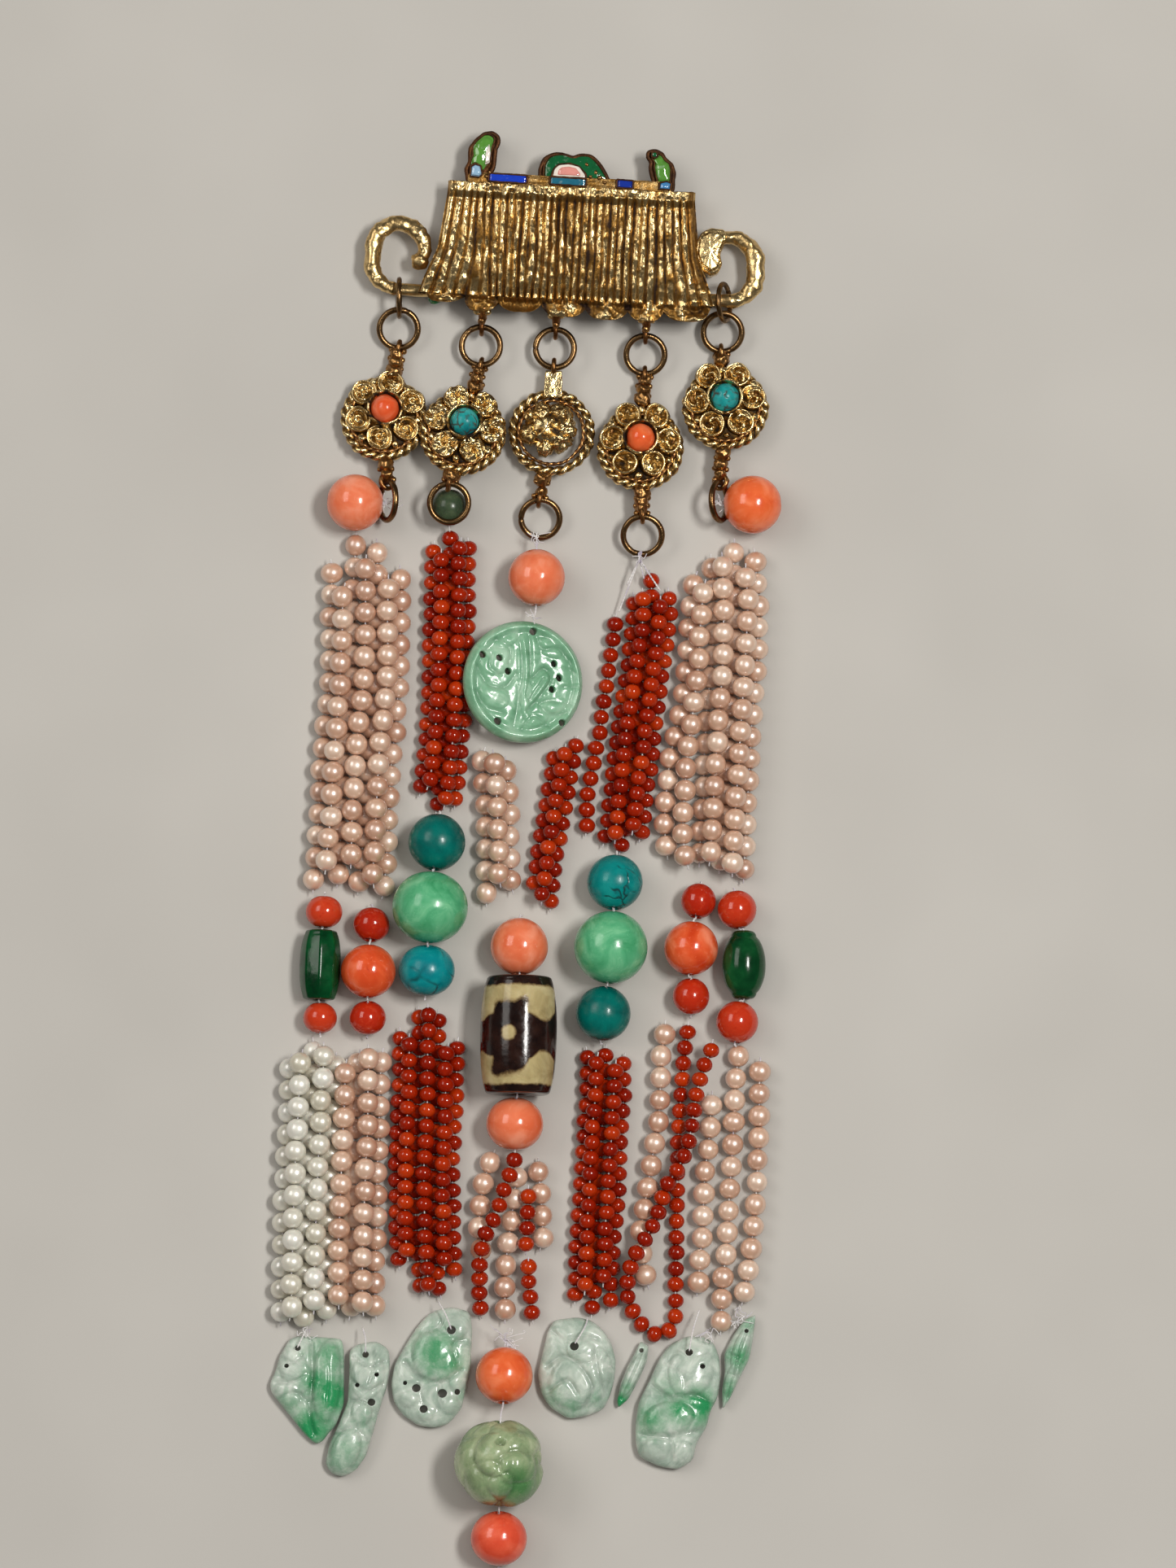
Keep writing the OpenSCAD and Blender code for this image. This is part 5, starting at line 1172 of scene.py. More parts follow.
def jade_disc():
    """The pierced disc: raised rim, a trunk with curling leaves, nine drilled holes."""
    place = LAID @ move(0.3, 22.1, 3.3) @ spin("y", 14)
    a, radius = angles(48), 8.3
    circle = radius * np.c_[np.cos(a), np.sin(a)]
    grooves = [
        ([[-0.7, 6.0], [-0.4, 1.0], [-1.4, -6.0]], 0.34, 0.34),
        ([[0.6, 6.2], [0.8, 2.0], [0.2, -2.0]], 0.22, 0.25),
        ([[-6.6, 2.0], [-5.0, -0.6], [-2.6, -0.8], [-1.2, 1.0]], 0.32, 0.4),
        ([[-6.0, 4.6], [-4.2, 5.6], [-2.0, 4.4], [-2.2, 2.4]], 0.3, 0.35),
        ([[-4.6, 3.6], [-4.8, 1.8], [-3.4, 0.8]], 0.24, 0.3),
        ([[1.2, 0.6], [2.6, 1.8], [3.6, 0.8], [3.0, -0.8], [0.4, -4.0]], 0.3, 0.4),
        ([[2.6, 0.4], [0.6, -2.6]], 0.2, 0.28), ([[2.0, -3.0], [3.4, -2.6], [6.4, -3.0]], 0.28, 0.35),
        ([[2.2, -3.4], [3.6, -4.4], [5.8, -4.2]], 0.24, 0.3),
        ([[-0.4, -6.6], [1.2, -4.6], [3.4, -6.2]], 0.26, 0.3),
        ([[1.6, 6.0], [2.6, 4.4], [4.6, 4.6], [6.2, 3.0]], 0.28, 0.32), ([[5.4, 2.0], [7.0, 1.4]], 0.2, 0.25),
        ([[5.4, -0.6], [7.2, -0.6]], 0.2, 0.25), ([[-6.8, -1.4], [-5.2, -3.6], [-3.0, -4.4]], 0.3, 0.3),
    ]
    bosses = [(-0.1, 0.4, 0.9, 6.0, 4, 0.3), (-4.0, 2.6, 2.2, 1.8, 20, 0.28),
              (2.2, -0.8, 1.1, 2.6, -38, 0.34), (4.2, -3.4, 2.4, 1.0, 8, 0.3),
              (3.6, 4.6, 1.8, 1.2, -30, 0.28), (-4.2, -2.0, 2.2, 1.6, -35, 0.28),
              (1.4, -5.2, 2.0, 1.0, 20, 0.24), (-2.6, 5.6, 1.6, 1.0, 20, 0.24)]
    v, faces, vals = relief(
        (0, 0), circle, 2.05, 3.0, grooves, bosses, around=170, rows=56, seed=60, edge=14.0, base=0.0)
    r = np.hypot(v[:, 0], v[:, 1])
    upper = v[:, 2] > 1.3
    v[:, 2] += np.where(upper,
                        0.42 * np.exp(-((r - 7.45) / 0.42) ** 2) - 0.16 * np.exp(-((r - 6.6) / 0.4) ** 2), 0)
    v[:, 2] -= 1.15
    # painted shade: a dark ring in the groove inside the raised rim, added to the carving's own painted shade
    vals["deep"] = vals["deep"] * 0.8 + 0.35 * np.exp(-((r - 6.75) / 0.3) ** 2) * upper
    holes = [(1.2, 6.8, 0.55), (-5.8, 3.5, 0.5), (-3.5, 3.1, 0.5), (-2.3, 1.3, 0.5), (4.1, 2.5, 0.5),
             (4.8, 0.6, 0.52), (3.8, -1.0, 0.5), (-3.7, -5.5, 0.55), (5.2, -5.5, 0.5)]
    s = Shape()
    s.add(put(place, v), faces, **vals)
    s.piece("jade_disc", "pierced", [JADE_DISC], cut=holes_shape(place, holes))


jade_disc()

# Roof plate: uneven tile ribs that end in a lumpy scalloped eave, a ridge with ornaments, corner scrolls

# Distance down from the ridge and share of the rise there
RISE = [(-2, 0), (0, 0), (4, 0.06), (8, 0.25), (11, 0.47), (13.5, 0.70), (16, 0.92), (18, 1.05)]
RIBS = 33
RIDGE_HALF = 16.75
TILES_TOP, TILES_END = 1.2, -14.6
NOTCHES = np.array([-19.6, -13.7, -9.2, -3.2, 2.7, 8.4, 13.3, 19.6])
SCALLOPS = np.array([-15.7, -16.8, -16.6, -17.0, -17.1, -17.0, -16.8])
SMOOTH_SCALLOP = 2
LOOP_X = (-11.2, -1.2, 11.0)
ORNAMENTS = [
    [[-14.1, 1.2], [-14.4, 2.9], [-13.9, 3.9], [-14.0, 5.7], [-13.2, 6.9], [-12.2, 7.8], [-11.2, 8.0],
     [-10.3, 7.5], [-10.2, 6.7], [-10.6, 5.8], [-10.7, 3.3], [-11.9, 1.2]],
    [[-4.4, 1.2], [-4.4, 3.6], [-3.8, 4.9], [-2.6, 5.5], [-1.3, 5.5], [-0.1, 5.0], [0.9, 5.5], [2.2, 5.5],
     [3.2, 4.8], [4.0, 3.8], [4.7, 2.6], [5.5, 1.2]],
    [[11.4, 1.2], [10.5, 4.1], [10.6, 5.1], [10.1, 5.6], [10.1, 6.4], [11.0, 6.7], [11.9, 6.3], [12.4, 5.5],
     [13.3, 4.9], [13.7, 3.8], [13.6, 1.2]],
]


def roof_z(y):
    d = np.linspace(-2, 18, 81)
    z = np.interp(d, [p[0] for p in RISE], [p[1] for p in RISE])
    z = np.convolve(np.pad(z, 6, "edge"), np.ones(13) / 13, "valid")
    return 3.6 + 3.0 * np.interp(-y, d, z)


def rib_x(u, y):
    spread = np.interp(-y, [0, 8, 12, 18], [0, 0.9, 2.3, 4.0])
    return u + np.sign(u) * np.maximum(0, np.abs(u) - 11) / 5.3 * spread


def roof_field():
    """Points of the tile field with their depth values: rows from the ridge down and over the eave's edge."""
    cols, rows = RIBS * 10 + 1, 150
    U, W = np.meshgrid(np.linspace(-RIDGE_HALF, RIDGE_HALF, cols), np.linspace(0, 1, rows))
    tiles, fringe, fold = (np.clip((W - a) / (b - a), 0, 1) for a, b in ((0, 0.82), (0.82, 0.95), (0.95, 1)))
    x_low = rib_x(U, -16.4)
    k = np.clip(np.searchsorted(NOTCHES, x_low) - 1, 0, len(SCALLOPS) - 1)
    lobe = (x_low - NOTCHES[k]) / (NOTCHES[k + 1] - NOTCHES[k]) * 2 - 1
    edge = SCALLOPS[k] + 1.3 * np.abs(lobe) ** 3.4
    y = TILES_TOP + (TILES_END - TILES_TOP) * tiles + (edge - TILES_END) * fringe + 0.3 * fold
    x = rib_x(U, y)
    p = np.stack([x, y, np.zeros_like(x)], -1)

    # Ribs: each with its own height and lean, broken by dents
    rng = np.random.default_rng(77)
    high, lean, cut = (rng.uniform(a, b, RIBS + 2) for a, b in ((0.55, 1.25), (-0.3, 0.3), (0, 1)))
    rib_number = U / (32.2 / (RIBS - 1)) + (RIBS - 1) / 2
    rib = np.clip(np.round(rib_number).astype(int) + 1, 0, RIBS + 1)
    phase = (rib_number - np.round(rib_number)) * 2 + 0.5 * noise(p * [1, 0.3, 1], 1.9, 3) + lean[rib] * 0.5
    crest = np.clip(1 - np.abs(np.clip(phase, -1.3, 1.3)) ** 2.4, 0, 1)
    along = noise(p * [1, 0.45, 1], 1.1, 15)
    hits = rough(p * [1, 0.5, 1], 0.75, 8)
    grow = ease((0.7 - y) / 1.6) * (1 - ease((TILES_END - 0.2 - y) / 0.5))
    raised = crest * 0.5 * high[rib] * (1 + 0.6 * along) * grow + 0.16 * hits * (0.5 + crest)
    knobs = 0.55 * np.exp(-(((y - TILES_END - 0.5) / 0.9) ** 2))
    ends = knobs * crest * (0.5 + 0.8 * cut[rib]) * (fringe < 1)

    # The fringe of scallops under the ribs
    in_band = ease(fringe * 4) * (1 - 0.5 * fold)
    smooth_one = k == SMOOTH_SCALLOP
    swell = (1 - lobe**2) * np.sin(np.clip(fringe, 0, 1) * math.pi)
    halo = np.exp(-(((np.hypot(lobe, fringe - 0.5) - 0.85) / 0.2) ** 2))
    dish = np.where(smooth_one, -0.45 * swell + 0.25 * halo, 0.3 * swell)
    lumps = np.where(smooth_one, 0.05, 0.34) * rough(p, 1.15, 31)
    band_relief = in_band * (dish + lumps - 0.25)

    corner = ease((np.abs(x) - 15.2) / 2.2) * ease((-9.5 - y) / 2.5)
    side = np.exp(-(((np.abs(U) - 16.2) / 0.34) ** 2))
    ridge = 0.86 * ease((y + 1.1) / 1.2)
    z = roof_z(y) - 0.05 + ridge + raised * (1 - 0.7 * side) + ends + band_relief
    z = z + corner * 0.36 * rough(p, 1.2, 21)
    z = z + 0.3 * side + 0.2 * ease((y + 0.6) / 0.6) * rough(p, 1.1, 5) - 1.15 * fold
    z = z - 0.35 * ease((np.abs(U) - 16.45) / 0.25)

    # Depth values: painted shade in the grooves between ribs, in dents, between scallops and on the
    # folded-under edge, with noise patches of wear; lighter on the knobs, darker along the right side bar
    deep = np.clip(0.84 - crest * (0.95 + 0.7 * along), 0, 1) * (grow * 0.8 + 0.2)
    deep = deep + 0.3 * np.clip(noise(p, 4.5, 41), 0, 1) + 0.35 * np.clip(-hits, 0, 1) - 0.7 * ends
    deep = np.where(fringe > 0, 0.35 - 0.55 * lumps / 0.34 + 0.45 * ease((np.abs(lobe) - 0.6) / 0.35), deep)
    deep = np.where(smooth_one & (fringe > 0.1), 0.62, deep)
    deep = np.maximum(deep, side * (U > 0) * ease((y + 13.5) / 2) * 0.8) + 0.4 * fold
    return np.stack([x, y, z], -1), np.clip(deep, 0, 1)


def roof_skin(s):
    """The tile field closed behind by an inner skin one wall lower."""
    top, deep = roof_field()
    rows, cols = deep.shape
    border = np.concatenate([
        np.arange(cols), np.arange(1, rows) * cols + cols - 1, (rows - 1) * cols + np.arange(cols - 1)[::-1],
        np.arange(1, rows - 1)[::-1] * cols,
    ])
    upper = top.reshape(-1, 3)
    rim = upper[border]
    n = len(border)
    lower = np.c_[rim[:, 0] * 0.985, np.clip(rim[:, 1], -20, 0.9), roof_z(rim[:, 1]) - 1.0]
    mid = lower.mean(0)
    inner = mid + (lower - mid) * 0.55
    inner[:, 2] = roof_z(inner[:, 1]) - 1.0
    core = [[mid[0], mid[1], roof_z(mid[1]) - 1.0]]
    v = np.concatenate([upper, lower, inner, core])
    first = len(upper)
    ring = np.arange(n)
    back = grid(2, n, wrap=True) + first
    faces = [grid(rows, cols)[:, ::-1], band(border, ring + first), back[:, ::-1],
             fan(ring + first + n, first + 2 * n, flip=True)]
    s.add(put(ROOF, v), faces, deep=np.concatenate([deep.ravel(), np.full(2 * n + 1, 0.7)]))


def block(s, pts, z0, z1, round_=0.35, seed=0, lump=0.08, mat=0, around=90, crown=0.0, place=ROOF, **vals):
    """A cast block over an outline, its upper edge rounded and its face slightly hammered."""
    out = resampled(pts, around)
    c = out.mean(0)
    bend = np.linspace(0, math.pi / 2, 5)
    width = np.ptp(out[:, 0]) / 2
    levels = [(1.0, z0)] + [(1 - round_ * (1 - math.cos(t)) / width,
                             z1 - round_ * (1 - math.sin(t))) for t in bend]
    levels += [(k, z1 + crown * (1 - k * k)) for k in (0.85, 0.7, 0.55, 0.4, 0.2)]
    v = np.concatenate([np.c_[c + (out - c) * k, np.full(around, z)] for k, z in levels])
    v[around:, 2] += lump * rough(v[around:], 0.9, seed)
    v[around:, :2] += (lump * 0.6 * noise(v[around:], 0.8, seed + 3))[:, None]
    v = np.concatenate([v, [[*c, z1 + crown], [*c, z0]]])
    s.add(put(place, v), capped(len(levels), around), mat=mat, **vals)


def outlined(s, pts, z, r, seed, mat):
    """A low wire round an outline."""
    out = resampled(pts, 90, 2)
    path = put(ROOF, np.c_[out, np.full(len(out), z)])
    tube(s, path, r, sides=8, closed=True, seed=seed, lumps=0.05, mat=mat, deep=0.75)


def scroll(s, at, r, straight, side, tip, radii, seed):
    """One corner scroll from its inner end round to the foot; radii go from the end to the foot."""
    a, b = np.linspace(math.pi, 0, 26), np.linspace(0, -math.pi / 2, 14)
    half = straight / 2
    over = np.c_[at[0] + r * np.cos(a), at[1] + half + r * np.sin(a)]
    under = np.c_[at[0] + r * np.cos(b), at[1] - half + r * np.sin(b)]
    foot = [[19.0, at[1] - half - r], [18.0, at[1] - half - r + 0.15]]
    line = np.concatenate([tip, over, under, foot]) * [side, 1]
    path = smooth(np.c_[line, np.full(len(line), 3.1)], 3)
    m = np.linspace(0, 1, len(path))
    r_at = np.interp(m, np.linspace(0, 1, len(radii)), radii)
    tube(s, put(ROOF, path), r_at, sides=26, flat=0.88, seed=seed, lumps=0.17, lump_size=1.0, deep=0.1)


def roof_plate():
    s = Shape()
    roof_skin(s)
    ys = np.linspace(-14.4, 0.0, 40)
    outer = np.interp(-ys, [0, 5, 9, 11.8, 12.7, 14.6], [16.6, 16.9, 17.8, 18.9, 19.5, 19.4])
    for side in (1, -1):
        corners = [(0, 0.4), (0, roof_z(ys) - 0.5), (1.1, roof_z(ys) - 0.5), (1.1, 0.4)]
        v = np.stack([np.stack([side * (outer - x), ys, z + 0 * ys], -1) for x, z in corners], 1)
        ends = [np.array([[3, 2, 1, 0]]), np.array([[0, 1, 2, 3]]) + (len(ys) - 1) * 4]
        s.add(put(ROOF, v), [grid(len(ys), 4, wrap=True), *ends], deep=0.7)
    ridge = [[-16.6, -0.3], [16.6, -0.3], [16.6, 1.1], [-16.6, 1.1]]
    block(s, ridge, 0.4, 3.9, seed=4, lump=0.05, around=200, deep=0.6)
    strip = [[-14.2, 1.0], [13.6, 1.0], [13.6, 2.45], [-14.2, 2.45]]
    block(s, strip, 0.1, 4.45, round_=0.25, seed=5, lump=0.1, around=220, deep=0.4)
    for k, pts in enumerate(ORNAMENTS):
        block(s, pts, 0.1, 4.1, seed=6 + k, lump=0.07, mat=1, deep=0.7)
        outlined(s, pts, 4.05, 0.3, 9 + k, 1)

    left_radii = [0.9, 1.0, 1.12, 1.1, 1.12, 1.1, 0.85, 0.8]
    right_radii = [0.7, 0.75, 0.85, 1.1, 1.3, 1.25, 0.95, 0.85]
    scroll(s, [22.95, -9.4], 3.5, 1.95, -1, [[20.0, -9.6], [19.55, -8.9]], left_radii, 8)
    ball(s, ROOF, [-20.1, -9.9, 3.2], 1.15, 30, 20, seed=7, lumps=0.16, deep=0.1)
    scroll(s, [21.9, -8.9], 3.5, 1.7, 1, [[18.45, -8.9]], right_radii, 6)
    leaf = [[17.2, -7.6], [17.2, -5.6], [17.8, -4.2], [19.2, -3.4], [20.9, -3.6], [21.3, -4.7], [20.9, -5.9],
            [20.5, -6.9], [20.8, -8.4], [20.3, -9.6], [19.2, -10.1], [18.1, -9.3]]
    block(s, leaf, 2.3, 4.3, round_=0.45, seed=11, lump=0.16, crown=0.3, around=120, deep=0.02)
    for side in (-1, 1):
        ball(s, ROOF, [side * 17.7, -15.0, 4.6], 0.95, 28, 18, seed=3, lumps=0.06, mat=2, tone=0.5)
        foot = [[15.4, -13.9], [16.2, -12.6], [17.8, -12.9], [19.3, -13.0], [19.7, -14.0], [18.4, -14.8],
                [16.8, -14.9]]
        block(s, np.array(foot) * [side, 1], 2.2, 5.3, round_=0.6, seed=13 + side, lump=0.3, crown=0.35,
              around=120, deep=0.12)
    for k, cx in enumerate(LOOP_X):
        upright = ROOF @ move(cx, -18.3, 2.6) @ spin("z", 90) @ spin("x", 90)
        hoop(s, upright, 1.05, 0.31, 40, sides=10, seed=k, lumps=0.03, mat=1, deep=0.4)
        post = smooth([[cx, -18.0, 3.5], [cx, -17.2, 4.5], [cx, -15.8, 5.6]], 6)
        tube(s, put(ROOF, post), np.linspace(0.42, 0.8, len(post)), sides=14, seed=k + 3, lumps=0.16, mat=1,
             deep=0.35)
        ball(s, ROOF, [cx, -17.75, 4.3], 0.55, 18, 12, seed=k, lumps=0.04, mat=1, deep=0.2)
        for turn in (-1, 1):
            ball(s, ROOF, [cx + turn * 0.7, -16.6, 5.2], 0.5, 16, 10, seed=k + 9, lumps=0.1, deep=0.15)
    s.piece("roof_plate", "cast", [GILT, GILT_BROWN, ENAMEL])


def shrunk(pts, kx, ky, dx=0.0, dy=0.0):
    """An outline made smaller about its middle and shifted."""
    c = np.mean(pts, 0)
    return c + (pts - c) * [kx, ky] + [dx, dy]


def ridge_enamel():
    """Glossy enamel fields with dark gilt walls, on the ridge strip and its three ornaments."""
    s = Shape()

    def field(pts, tone, z0, z1, crown, seed, wall=0.13):
        block(s, pts, z0, z1, round_=0.2, seed=seed, lump=0.05, crown=crown, tone=TONES[tone])
        if wall:
            outlined(s, shrunk(pts, 1.05, 1.05), z1 - 0.02, wall, seed, 1)

    for seed, (x0, x1, tone) in enumerate([(-11.2, -6.2, "royal"), (-2.9, 1.8, "blue_green"),
                                           (6.1, 8.2, "dark_blue")]):
        field([[x0, 1.3], [x1, 1.25], [x1, 2.3], [x0, 2.35]], tone, 4.2, 4.72, 0.1, seed)
    field([[11.8, 1.35], [11.9, 2.2], [12.8, 2.45], [13.4, 2.2], [13.3, 1.35]], "light_blue", 4.2, 4.75, 0.15,
          4)
    left, middle, right = ORNAMENTS
    field(shrunk(left, 0.74, 0.72, -0.1, 0.5), "bright_green", 3.6, 4.3, 0.4, 6)
    round_leaf = [[-13.8, 1.9], [-13.8, 3.2], [-13.2, 3.6], [-12.5, 3.3], [-12.2, 2.2], [-12.6, 1.8]]
    field(round_leaf, "pale_blue", 4.0, 4.6, 0.25, 7, 0.16)
    bud = [[-11.9, 3.5], [-11.9, 5.2], [-11.5, 6.4], [-11.2, 5.2], [-11.3, 3.8]]
    field(bud, "white", 4.3, 4.75, 0.12, 8, 0)
    field(shrunk(middle, 0.86, 0.76, 0.0, 0.3), "dark_green", 3.6, 4.3, 0.35, 9)
    lotus = [[-2.7, 2.3], [-2.5, 3.4], [-1.9, 4.0], [-0.5, 4.2], [0.8, 3.9], [1.7, 2.9], [1.8, 2.3]]
    field(lotus, "white", 4.2, 4.72, 0.1, 10, 0.12)
    field(shrunk(lotus, 0.72, 0.66, 0.0, -0.05), "pink", 4.4, 4.86, 0.12, 11, 0)
    field(shrunk(right, 0.7, 0.74, 0.15, 0.1), "bright_green", 3.6, 4.3, 0.35, 12)
    eye = [[10.6, 5.75], [10.6, 6.3], [11.2, 6.4], [11.4, 5.9], [11.1, 5.6]]
    field(eye, "dark_green", 4.3, 4.72, 0.1, 13, 0.12)
    grains = [(2.4, 2.6), (3.1, 3.2), (3.7, 2.5), (4.4, 1.9), (1.9, 4.2), (-11.2, 2.5), (-11.6, 2.0)]
    for k, (x, y) in enumerate(grains):
        ball(s, ROOF, [x, y, 4.35], 0.34, 12, 8, seed=k, lumps=0.1, mat=1, deep=0.15)
    s.piece("ridge_enamel", "fields", [ENAMEL, GILT_BROWN])


roof_plate()
ridge_enamel()

# Rings

# Each as (x, y, z, tip, roll)
UPPER_RINGS = [(-16.6, 70.35, 1.95, 14, 0), (-5.45, 67.92, 2.42, 4, 0), (4.55, 67.6, 2.5, 2, 0),
               (16.8, 66.8, 1.98, 14, 0), (27.25, 69.86, 1.98, 14, 0)]
LINKS = [(-16.5, 74.43, 3.0, 0, 90), (27.45, 73.8, 3.0, 0, 71)]
LOWER_RINGS = [(-18.0, 46.7, 3.3, 0, -65), (-9.7, 46.2, 4.98, 9, 0), (2.6, 44.5, 1.6, 18, 0),
               (16.4, 42.1, 2.6, 18, 0), (26.8, 46.64, 3.3, 0, 65)]


def rings(name, rows, links=()):
    """Jump rings and the smaller links, each filed flat at the seam where its wire meets."""
    s = Shape()
    points, sides = 72, 14
    a = angles(points)
    for k, (x, y, z, tip, roll) in enumerate([*rows, *links]):
        link = k >= len(rows)
        r, wire = (2.5, 0.35) if link else (2.6, 0.42)
        place = LAID @ move(x, y, z) @ spin("y", roll) @ spin("x", tip)
        seam = np.exp(-(((a - 1.1 - k) % (2 * math.pi) - 0.05) / 0.05) ** 2)
        uneven = wire * (1 - 0.02 * np.cos(3 * a + k) - 0.18 * seam)
        deep = np.repeat(0.2 + 0.5 * seam, sides)
        hoop(s, place, r, uneven, points, sides=sides, seed=k, lumps=0.02, lump_size=1.2, deep=deep)
    s.piece(name, "wire", [RING_BRONZE])


rings("upper_rings", UPPER_RINGS, LINKS)
rings("lower_rings", LOWER_RINGS)

# Rosettes

# Each as (x, y, z, turn, tilt, reach of the upper stem, reach of the lower stem, its swing, its loop's roll)
ROSETTES = [
    (-18.6, 57.9, 1.75, -11.4, 6, 10.1, 8.7, 14.7, 60), (-7.9, 55.7, 3.41, -14, 10.5, 9.9, 7.3, 0, 0),
    (4.1, 56.1, 3.0, -2, 0, 9.0, 9.2, 8, 0), (16.1, 53.9, 1.85, -3.3, 6, 10.3, 9.3, 5, 0),
    (27.6, 59.4, 1.6, 3.7, 6, 7.8, 10.25, -7.6, -60),
]
FLOWER_SHIFT = 1.1
PETAL_RING = 3.8


def rope(s, place, radius, wire, z, twists, seed, segs=220, sides=12, **vals):
    """A ring of twisted strands whose turns swell and thin like small leaves."""
    A, B = np.meshgrid(angles(segs), angles(sides), indexing="ij")
    lobes = np.abs(np.cos(B - A * twists / 2))
    swell = 1 + 0.22 * noise(np.stack([3 * np.cos(A), 3 * np.sin(A), 0 * A], -1), 1.0, seed + 2)
    r = wire * (0.5 + 0.54 * lobes**0.8) * swell
    rr = radius + r * np.cos(B)
    v = np.stack([rr * np.cos(A), rr * np.sin(A), z + r * np.sin(B)], -1)
    v = v + 0.08 * noise(v, 0.9, seed)[..., None]
    # painted shade: the crevices between the strands are darker
    s.add(put(place, v.reshape(-1, 3)), grid(segs, sides, wrap=True, closed_rows=True),
          deep=np.clip(1.1 - lobes.ravel() * 1.25, 0, 1), **vals)


def wire_ring(r, at, wide):
    return np.exp(-(((r - at) / wide) ** 2))


def petal_height(style, R, A, p, seed):
    """Height of a petal's face: raised wires round crumpled foil, in the style of one of the rosettes."""
    crumple = rough(p, 0.62, seed, 3)
    R = R * 0.93
    inside = ease((1.3 - R) / 0.3)
    if style == 1:
        z = 0.4 * wire_ring(R, 1.5, 0.16) + 0.32 * wire_ring(R, 1.08, 0.14) + 0.45 * wire_ring(R, 0.35, 0.3)
        return z + 0.3 * crumple * inside - 0.15
    if style == 2:
        folds = np.abs(np.sin(2.5 * A + 2.0 * R + seed)) ** 0.6
        return 0.55 * folds * ease(R / 0.6) * (1 - 0.3 * R) + 0.34 * crumple
    if style == 4:
        pebbles = noise(p, 0.42, seed + 5)
        return 0.55 * wire_ring(R, 1.42, 0.24) + 0.3 * pebbles * inside + 0.22 * crumple * inside - 0.1
    if style == 5:
        swirl = np.sin(A * 2 + R * 5.0 + seed)
        return 0.34 * wire_ring(R, 1.5, 0.18) + 0.3 * swirl * inside * ease(R / 0.3) + 0.3 * crumple * inside
    return 0.5 * crumple + 0.3 * np.cos(R / 1.7 * math.pi / 2)


def petal(s, place, angle, style, seed):
    """One round petal over the rosette's plate, its edge a little out of round."""
    at = place @ move(0, FLOWER_SHIFT) @ spin("z", angle) @ move(PETAL_RING, 0, 1.35) @ spin("y", 5)
    rows, segs = 18, 44
    r = np.linspace(1, 0.02, rows) * 1.92
    R, A = np.meshgrid(r, angles(segs), indexing="ij")
    uneven = 1 + 0.1 * noise(np.stack([np.cos(A), np.sin(A), A * 0 + seed], -1), 0.9, seed)
    x, y = R * np.cos(A) * uneven, R * np.sin(A) * uneven
    p = np.stack([x + 7.3 * seed, y, np.full_like(x, seed)], -1)
    z = petal_height(style, R, A, p, seed)
    # painted shade: the lower parts of the face, the rim where it turns down and the underside are darker
    deep = np.clip(0.34 - z * 1.3, 0, 1)
    edge = ease((R - 1.74) / 0.16)
    z = 0.12 + z * (1 - edge) - 0.6 * edge
    base = np.c_[x[0], y[0], np.full(segs, -1.0)]
    n = rows * segs
    v = np.concatenate([np.stack([x, y, z], -1).reshape(-1, 3), [[0, 0, z[-1].mean()], [0, 0, -1.0]], base])
    ring = np.arange(segs)
    low = ring + n + 2
    deep = np.concatenate([np.maximum(deep, edge).ravel(), [0.2, 0.9], np.full(segs, 0.95)])
    faces = [grid(rows, segs, wrap=True), fan(ring + n - segs, n), band(ring, low)[:, ::-1],
             fan(low, n + 1, flip=True)]
    s.add(put(at, v), faces, deep=deep)


def loop(s, place, seed=0):
    hoop(s, place, 0.95, 0.32, 36, sides=10, lumps=0.04, mat=1, deep=0.3, seed=seed)


def stem(s, place, start, reach, roll, seed):
    """A row of touching brown balls with small grains beside them, and a soldered loop at its end."""
    count = max(2, round((reach - 0.9 - start) / 1.35) + 1)
    for k in range(count):
        d = start + (reach - 0.9 - start) * k / (count - 1)
        x = 0.08 * math.sin(2 * k + seed)
        size = 1.12 - 0.26 * k / (count - 1)
        look = dict(seed=seed + k, mat=1, deep=0.2)
        ball(s, place, [x, d, 0.75], size, 20, 14, lumps=0.2, **look)
        for side in (-1, 1):
            ball(s, place, [x + side * 0.8, d + 0.6, 0.5], 0.4, 12, 8, lumps=0.08, **look)
    loop(s, place @ move(0, reach, 0.6) @ spin("y", 90 + roll), seed=seed)


def turned_body(s, place, profile, deep_at, segs, bumps, seed):
    """A lathe-turned body with a lumpy wall, closed at both ends."""
    v = lathe(profile, segs)
    lump = bumps * rough(v, 0.7, seed)
    v = v + lump[..., None] * [0.4, 0.4, 0.6]
    tips = [[0, 0, profile[-1][1]], [0, 0, profile[0][1]]]
    # painted shade: each row's depth value from deep_at, darker in the hollows between lumps and lighter on
    # them
    deep = np.concatenate([np.repeat(deep_at, segs) - lump.ravel() * 1.5 / max(bumps, 0.1), [0.5, 0.5]])
    v = np.concatenate([v.reshape(-1, 3), tips])
    s.add(put(place, v), capped(len(profile), segs), deep=np.clip(deep, 0, 1))


def cup(s, place, seed):
    """The bezel: a tall lumpy cup with a wire at its foot and a rolled lip."""
    profile = [(2.6, 0.5), (2.9, 0.9), (2.95, 1.15), (2.75, 1.45), (2.42, 1.7), (2.3, 2.1), (2.32, 2.6),
               (2.46, 2.85), (2.46, 3.1), (2.26, 3.22), (2.08, 3.05), (2.0, 2.5), (1.6, 2.2), (0.3, 2.15)]
    # depth values: painted shade at the waist and inside the rolled lip
    deep_at = [0.6, 0.2, 0.1, 0.5, 0.9, 0.75, 0.5, 0.15, 0.05, 0.3, 0.8, 1.0, 1.0, 1.0]
    turned_body(s, place, profile, deep_at, 60, 0.1, seed)


